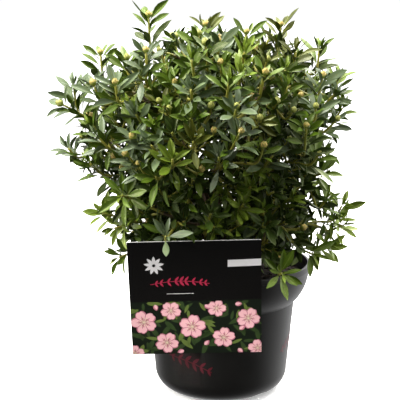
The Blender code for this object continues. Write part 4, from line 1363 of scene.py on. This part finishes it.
def bud_scales(first, last, count):
    """Pointed scales that overlap up a bud, from one share of its length to another."""
    points, triangles = [], []
    for k in range(count):
        share = first + (last - first) * k / (count - 1)
        angle = k * GOLDEN_ANGLE + first * 3
        foot, middle, tip = bud_radius(share), bud_radius(share + 0.16), bud_radius(min(share + 0.34, 0.97))
        start = len(points)
        for along, out, turn in (
            (share, foot * 0.90, 0.0),
            (share + 0.14, middle * 1.00 + 0.03, 0.50),
            (share + 0.17, middle * 1.04 + 0.07, 0.0),
            (share + 0.14, middle * 1.00 + 0.03, -0.50),
            (min(share + 0.36, 1.06), tip * 1.02 + 0.05, 0.0),
        ):
            points.append((along, out * math.cos(angle + turn), out * math.sin(angle + turn)))
        for a, b, c in ((0, 2, 1), (0, 3, 2), (1, 2, 4), (2, 3, 4)):
            triangles.append((start + a, start + b, start + c))
    return np.array([points]), np.array(triangles)


class Copies:
    """Copies of small templates, each turned and sized by its own frame, gathered into one mesh."""

    def __init__(self):
        self.variants = []
        self.frames = []

    def add(self, variant, root, along, across, up):
        self.variants.append(variant)
        self.frames.append((*root, *along, *across, *up))

    def build(self, name, templates, triangles, finish):
        frames = np.array(self.frames)
        shapes = templates[np.array(self.variants)]
        points = (
            frames[:, None, 0:3]
            + shapes[:, :, 0:1] * frames[:, None, 3:6]
            + shapes[:, :, 1:2] * frames[:, None, 6:9]
            + shapes[:, :, 2:3] * frames[:, None, 9:12]
        )
        offsets = np.arange(len(frames))[:, None, None] * templates.shape[1]
        return array_object(name, points.reshape(-1, 3), (triangles[None] + offsets).reshape(-1, 3), finish)


class Crown:
    """Everything that grows, gathered by kind."""

    def __init__(self, boughs):
        self.rng = random.Random(SEED + 3)
        self.boughs = boughs
        self.blades = {kind: Copies() for kind in LEAF_COLOURS}
        self.ribs = {kind: Copies() for kind in ("pale", "dark_and_shaded")}
        self.buds = {kind: Copies() for kind in ("cream", "green")}
        self.young = Tubes()
        self.woody = Tubes()

    def leaf(self, kind, root, along, facing, length, width):
        """Adds a leaf if nothing is in its way."""
        along = along.normalized()
        across = facing.cross(along).normalized()
        up = along.cross(across).normalized()
        tip = root + along * length
        middle = root.lerp(tip, LEAF_MIDDLE)
        corners = [tip, middle + across * width / 2, middle - across * width / 2]
        if not all(clear_of_container(p) for p in [*corners, middle, root]):
            return
        if middle.y < CARD_ZONE and not all(clear_of_card(root, p) for p in corners):
            return
        if not clear_of_boughs(middle, KEEP_OFF_BOUGH + width * LEAF_ROOM, self.boughs):
            return
        variant = self.rng.randrange(LEAF_VARIANTS)
        frame_of_leaf = (root, along * length, across * width, up * length)
        self.blades[kind].add(variant, *frame_of_leaf)
        self.ribs[RIB_KINDS[kind]].add(variant, *frame_of_leaf)

    def shoot(self, path, shoot):
        """Leaves up the end of a shoot, crowded and younger towards its tip, then its bud."""
        rng = self.rng
        lengths = path_lengths(path)
        kind = self.spray_colour(shoot)
        facing = outward_at(path[-1]) * FACE_OUT + UP * FACE_UP
        if shoot["end"] and path[-1].y < LEADING_FRONT_ZONE:
            facing += FRONT * LEADING_FRONT
        turn = rng.uniform(0, 2 * math.pi)
        if shoot["end"] in ("cream", "green"):
            turn = self.opening(path)
        size = LEADING_SIZE if shoot["end"] else rng.uniform(*SPRAY_VARIATION)
        ending = self.ending(shoot)
        steep, flat = LEAF_ANGLES[self.habit(shoot, ending)]
        count = LEAVES_PER_INNER_SHOOT if shoot["inner"] else LEAVES_PER_SHOOT
        smaller = YOUNG_LEAVES[0] if shoot["end"] else YOUNG_LEAVES[1]
        for k in range(count):
            share = (k + rng.uniform(*LEAF_SCATTER)) / count
            distance = FIRST_LEAF + LEAFY_LENGTH * max(0.0, share) ** LEAF_CROWDING
            if distance > lengths[0] * LAST_LEAF:
                break
            angle = steep + (flat - steep) * max(0.0, share) ** LEAF_ANGLE_EASING
            angle += rng.uniform(-LEAF_ANGLE_JITTER, LEAF_ANGLE_JITTER)
            youth = YOUNG_LEAF_SIZE + (1 - YOUNG_LEAF_SIZE) * min(1.0, k / smaller)
            shade = OLDER_AND_SHADED[kind] if k >= OLD_AND_SHADED_LEAVES_FROM else kind
            self.place(path, lengths, distance, turn + k * GOLDEN_ANGLE, angle, shade,
                       size * youth * rng.uniform(*LEAF_VARIATION), facing)
        self.tip(path, ending, kind)

    def opening(self, path):
        """The turn of the youngest leaf that leaves the bud open to the front."""
        ahead = end_way(path)
        start = ahead.orthogonal().normalized()
        front = (FRONT - ahead * FRONT.dot(ahead)).normalized()
        return math.atan2(ahead.dot(start.cross(front)), start.dot(front)) + math.radians(BUD_OPENING)

    def habit(self, shoot, ending):
        """How a shoot holds its leaves."""
        if not shoot["end"]:
            return "tuft" if ending == "tuft" else "bud"
        return "upright" if shoot["heading"].z > UPRIGHT_FROM else "open"

    def ending(self, shoot):
        """What a shoot ends in: a cream or green flower bud, or a tuft of young leaves."""
        if shoot["end"]:
            return shoot["end"]
        share = BUD_SHARE if shoot["bud"].z > LOW_SPRAYS else LOW_BUD_SHARE
        flowers = not shoot["inner"] and self.rng.random() < share
        return self.rng.choice(("cream", "green")) if flowers else "tuft"

    def spray_colour(self, shoot):
        """One leaf colour for a whole spray: the darkest green inside and mostly so low down, painted shade
        there; lighter above, where more sprays take the grey-green of painted sheen.
        """
        draw = self.rng.random()
        if shoot["colour"]:
            return shoot["colour"]
        # sprays inside the crown take the darkest green, painted shade
        if shoot["inner"]:
            return "dark_and_shaded"
        for kind, share in LOW_SPRAY_COLOURS if shoot["bud"].z < LOW_SPRAYS else SPRAY_COLOURS:
            if draw < share:
                return kind
            draw -= share
        return "mid"

    def place(self, path, lengths, distance, turn, angle, kind, size, light):
        """Puts a leaf on a shoot. Its face turns to the shoot's tip and to the light."""
        root, ahead = point_before_tip(path, lengths, distance)
        along = (leaning(ahead, turn, angle) + UP * LEAF_RISE).normalized()
        facing = ahead * FACE_TIP + light + random_vector(self.rng) * FACE_TWIST
        if abs(facing.normalized().dot(along)) > EDGE_ON:
            facing = ahead
        width = LEAF_WIDTH * size * self.rng.uniform(*LEAF_WIDTH_VARIATION)
        self.leaf(kind, root, along, facing, LEAF_LENGTH * size, width)

    def tip(self, path, ending, kind):
        """Puts the bud, or the tuft of young leaves, on the end of a shoot."""
        end = path[-1]
        ahead = end_way(path)
        if ending != "tuft":
            side = ahead.orthogonal().normalized()
            size = self.rng.uniform(*BUD_VARIATION)
            root = end - ahead * BUD_LENGTH * BUD_SINK
            radius = BUD_RADIUS * size
            length = BUD_LENGTH * size
            self.buds[ending].add(0, root, ahead * length, side * radius, ahead.cross(side) * radius)
            return
        # young leaves are fresh green, but those of painted shade, painted sheen and bronze sprays keep their
        # spray's colour
        young = "fresh" if kind in ("mid", "fresh") else kind
        for k in range(TUFT_LEAVES):
            along = leaning(ahead, k * GOLDEN_ANGLE, TUFT_ANGLES[0] + TUFT_ANGLES[1] * k)
            length = LEAF_LENGTH * (TUFT_SIZES[0] + TUFT_SIZES[1] * k)
            self.leaf(young, end, along, ahead, length, LEAF_WIDTH * TUFT_WIDTH)

    def twig(self, controls, radii, shoot):
        path, sizes, knots = spline(controls, radii, TWIG_STEP)
        path = eased(path, knots[-4], TWIG_EASING)
        lengths = path_lengths(path)
        split = next((i for i, left in enumerate(lengths) if left < YOUNG_LENGTH), 0)
        if split > 1:
            self.woody.add(tube_rings(path[: split + 1], sizes[: split + 1], TWIG_SIDES), TWIG_SIDES)
        first = max(split - 1, 0)
        self.young.add(tube_rings(path[first:], sizes[first:], TWIG_SIDES), TWIG_SIDES)
        self.shoot(path, shoot)


def bough_radius(share):
    return BOUGH_FOOT_RADIUS + (BOUGH_TIP_RADIUS - BOUGH_FOOT_RADIUS) * share


def bough_points(masses):
    """Points along every bough, with its radius there."""
    return np.array([(*bent(*mass["curve"], s), bough_radius(s)) for mass in masses for s in shares(30)])


def build_crown(masses):
    crown = Crown(bough_points(masses))
    shoots = all_shoots()
    for mass in masses:
        own = [s for s in shoots if min(masses, key=lambda m: (m["centre"] - s["bud"]).length) is mass]
        leaving = end_way(mass["path"])
        thick = BOUGH_TIP_RADIUS * 0.98
        foot = mass["path"][-1] - leaving * BOUGH_OVERLAP
        twigs = []
        grow([foot, foot + leaving * 3 * thick], [thick, thick * 0.97], leaving, own, twigs)
        for controls, radii, shoot in twigs:
            crown.twig(controls, radii, shoot)
    blades, ribs = leaf_templates()
    foliage = ["foliage_" + mass["name"] for mass in masses]
    for kind, copies in crown.blades.items():
        obj = copies.build(f"leaves_{kind}", blades, blade_triangles(), leaf_finish(kind))
        piece(obj, "foliage", *foliage)
    rib_triangles = np.array(ring_faces(len(RIB_STATIONS), len(RIB_CORNERS)))
    for kind, copies in crown.ribs.items():
        obj = copies.build(f"leaf_stalks_{kind}", ribs, rib_triangles, finish_for(f"leaf_stalk_{kind}"))
        piece(obj, "young_stem")
    build_buds(crown.buds)
    piece(crown.young.build("young_stems", finish_for("young_stem")), "young_stem")
    piece(crown.woody.build("woody_twigs", finish_for("woody_twig")), "bark")


def build_buds(buds):
    """Each bud's body and lower scales are green. Its upper scales are cream or yellow-green."""
    bodies = Copies()
    for copies in buds.values():
        bodies.variants.extend(copies.variants)
        bodies.frames.extend(copies.frames)
    green = finish_for("bud_body")
    piece(bodies.build("bud_bodies", *bud_core(), green), "bud")
    piece(bodies.build("bud_lower_scales", *bud_scales(*LOWER_SCALES), green), "bud")
    for kind, copies in buds.items():
        scales = bud_scales(*UPPER_SCALES)
        piece(copies.build(f"bud_scales_{kind}", *scales, finish_for(f"bud_{kind}")), "bud")


# Trunk and boughs


def bark_relief(angle, along, seed, strength):
    """Height of the bark's ridges: long flakes along the limb, broken by cracks."""
    ridge = noise.noise(Vector((math.cos(angle) * 2.4, math.sin(angle) * 2.4, along * 55 + seed)))
    crumb = noise.noise(Vector((math.cos(angle) * 6, math.sin(angle) * 6, along * 240 + seed)))
    return strength * (ridge + 0.45 * crumb)


def trunk_radius(height):
    share = (height - TRUNK_FOOT.z) / (TRUNK_TOP.z - TRUNK_FOOT.z)
    flare = FLARE * math.exp(-(height - TRUNK_FOOT.z) / FLARE_REACH * 2)
    return TRUNK_RADIUS * (1 - TRUNK_TAPER * share) * (1 + flare)


def trunk_rings():
    """The main stem's rings: a flared, lobed foot, a rounded top and the bark's relief."""
    points = []
    for share in shares(TRUNK_RINGS):
        centre = TRUNK_FOOT.lerp(TRUNK_TOP, share)
        lobing = FLARE_LOBING * (1 - share) ** 3
        past = max(0.0, share - (1 - TRUNK_DOME)) / TRUNK_DOME
        dome = math.sqrt(max(0.05, 1 - past**2))
        for angle in angles(TRUNK_SIDES):
            relief = bark_relief(angle, centre.z, 3.0, TRUNK_BARK)
            wave = 1 - lobing * math.cos(FLARE_LOBES * angle)
            radius = trunk_radius(centre.z) * wave * dome * (1 + relief)
            points.append(centre + Vector((math.cos(angle), math.sin(angle), 0)) * radius)
    return points


def bough_rings(curve, seed):
    """A bough's rings along its curve, with the bark's relief."""
    path = [bent(*curve, share) for share in shares(BOUGH_RINGS)]
    plain = tube_rings(path, [1.0] * len(path), BOUGH_SIDES)
    points = []
    along = 0.0
    for i, centre in enumerate(path):
        along += (centre - path[i - 1]).length if i else 0.0
        for k, angle in enumerate(angles(BOUGH_SIDES)):
            radius = bough_radius(i / BOUGH_RINGS) * (1 + bark_relief(angle, along, seed, BOUGH_BARK))
            points.append(centre + (plain[i * BOUGH_SIDES + k] - centre) * radius)
    return points


def build_limbs(masses):
    limbs = Tubes()
    limbs.add(trunk_rings(), TRUNK_SIDES)
    for number, mass in enumerate(masses):
        limbs.add(bough_rings(mass["curve"], 7.0 * number), BOUGH_SIDES)
    obj = limbs.build("trunk_and_boughs", finish_for("bark", stretch=(1, 1, 0.35)))
    piece(obj, "bark", "trunk", *["bough_" + mass["name"] for mass in masses])


# Stage


def area_light(name, place, aim, size, power, spread=180):
    data = bpy.data.lights.new(name, "AREA")
    data.spread = math.radians(spread)
    data.shape = "RECTANGLE"
    data.size, data.size_y = size
    data.energy = power
    data.color = LIGHT_COLOUR
    obj = bpy.data.objects.new(name, data)
    obj.location = place
    obj.rotation_euler = (Vector(aim) - Vector(place)).to_track_quat("-Z", "Y").to_euler()
    bpy.context.scene.collection.objects.link(obj)


def build_world():
    """Studio surroundings: bright above and at the sides, dim below and on the camera's side."""
    world = bpy.data.worlds.new("studio")
    bpy.context.scene.world = world
    world.use_nodes = True
    tree = world.node_tree
    way = add_node(tree, "TexCoord", "Generated")
    split = add_node(tree, "SeparateXYZ", "X", Vector=way).node.outputs

    def combined(operation, *sources):
        made = tree.nodes.new("ShaderNodeMath")
        made.operation = operation
        for source, socket in zip(sources, made.inputs):
            tree.links.new(source, socket)
        return made.outputs["Value"]

    towards = tree.nodes.new("ShaderNodeVectorMath")
    towards.operation = "DOT_PRODUCT"
    towards.inputs[1].default_value = SCREEN_WAY
    tree.links.new(way, towards.inputs[0])
    overhead = combined("MULTIPLY", ramp(tree, split["Z"], WORLD_UP), ramp(tree, split["Y"], WORLD_BACK))
    beside = ramp(tree, towards.outputs["Value"], SCREEN)
    screen = combined("MULTIPLY", beside, ramp(tree, split["Z"], SCREEN_TOP))
    glow = tree.nodes["Background"]
    set_inputs(tree, glow, Color=WHITE, Strength=combined("ADD", overhead, screen))
    plain = add_node(tree, "Background", "Background", Color=WHITE, Strength=BACKDROP)
    mix = add_node(tree, "MixShader", "Shader", Fac=add_node(tree, "LightPath", "Is Camera Ray"))
    tree.links.new(glow.outputs["Background"], mix.node.inputs[1])
    tree.links.new(plain, mix.node.inputs[2])
    set_inputs(tree, tree.nodes["World Output"], Surface=mix)


def build_stage():
    """A plain pale floor, the studio around it and its lamps."""
    points = [Vector((math.cos(a), math.sin(a), 0)) * FLOOR_RADIUS for a in angles(FLOOR_SIDES)]
    faces = [(0, 1 + k, 1 + after) for k, after in around(FLOOR_SIDES)]
    finish = finish_for("floor", Emission_Color=WHITE, Emission_Strength=FLOOR_GLOW)
    floor = mesh_object("floor", [Vector((0, 0, 0)), *points], faces, finish, smooth=False)
    floor.location.z = -FLOOR_DROP
    floor.visible_diffuse = False
    floor.visible_glossy = False
    build_world()
    for light in LIGHTS:
        area_light(*light)


def build_camera():
    data = bpy.data.cameras.new("camera")
    data.lens = CAMERA_LENS
    data.sensor_width = CAMERA_SENSOR
    camera = bpy.data.objects.new("camera", data)
    camera.location = CAMERA_PLACE
    camera.rotation_euler = (math.radians(CAMERA_PITCH), 0, 0)
    bpy.context.scene.collection.objects.link(camera)
    bpy.context.scene.camera = camera


def main():
    bpy.context.scene.view_settings.view_transform = "Standard"
    build_camera()
    build_stage()
    build_pot()
    build_compost()
    build_card()
    masses = mass_plan()
    build_limbs(masses)
    build_crown(masses)


main()
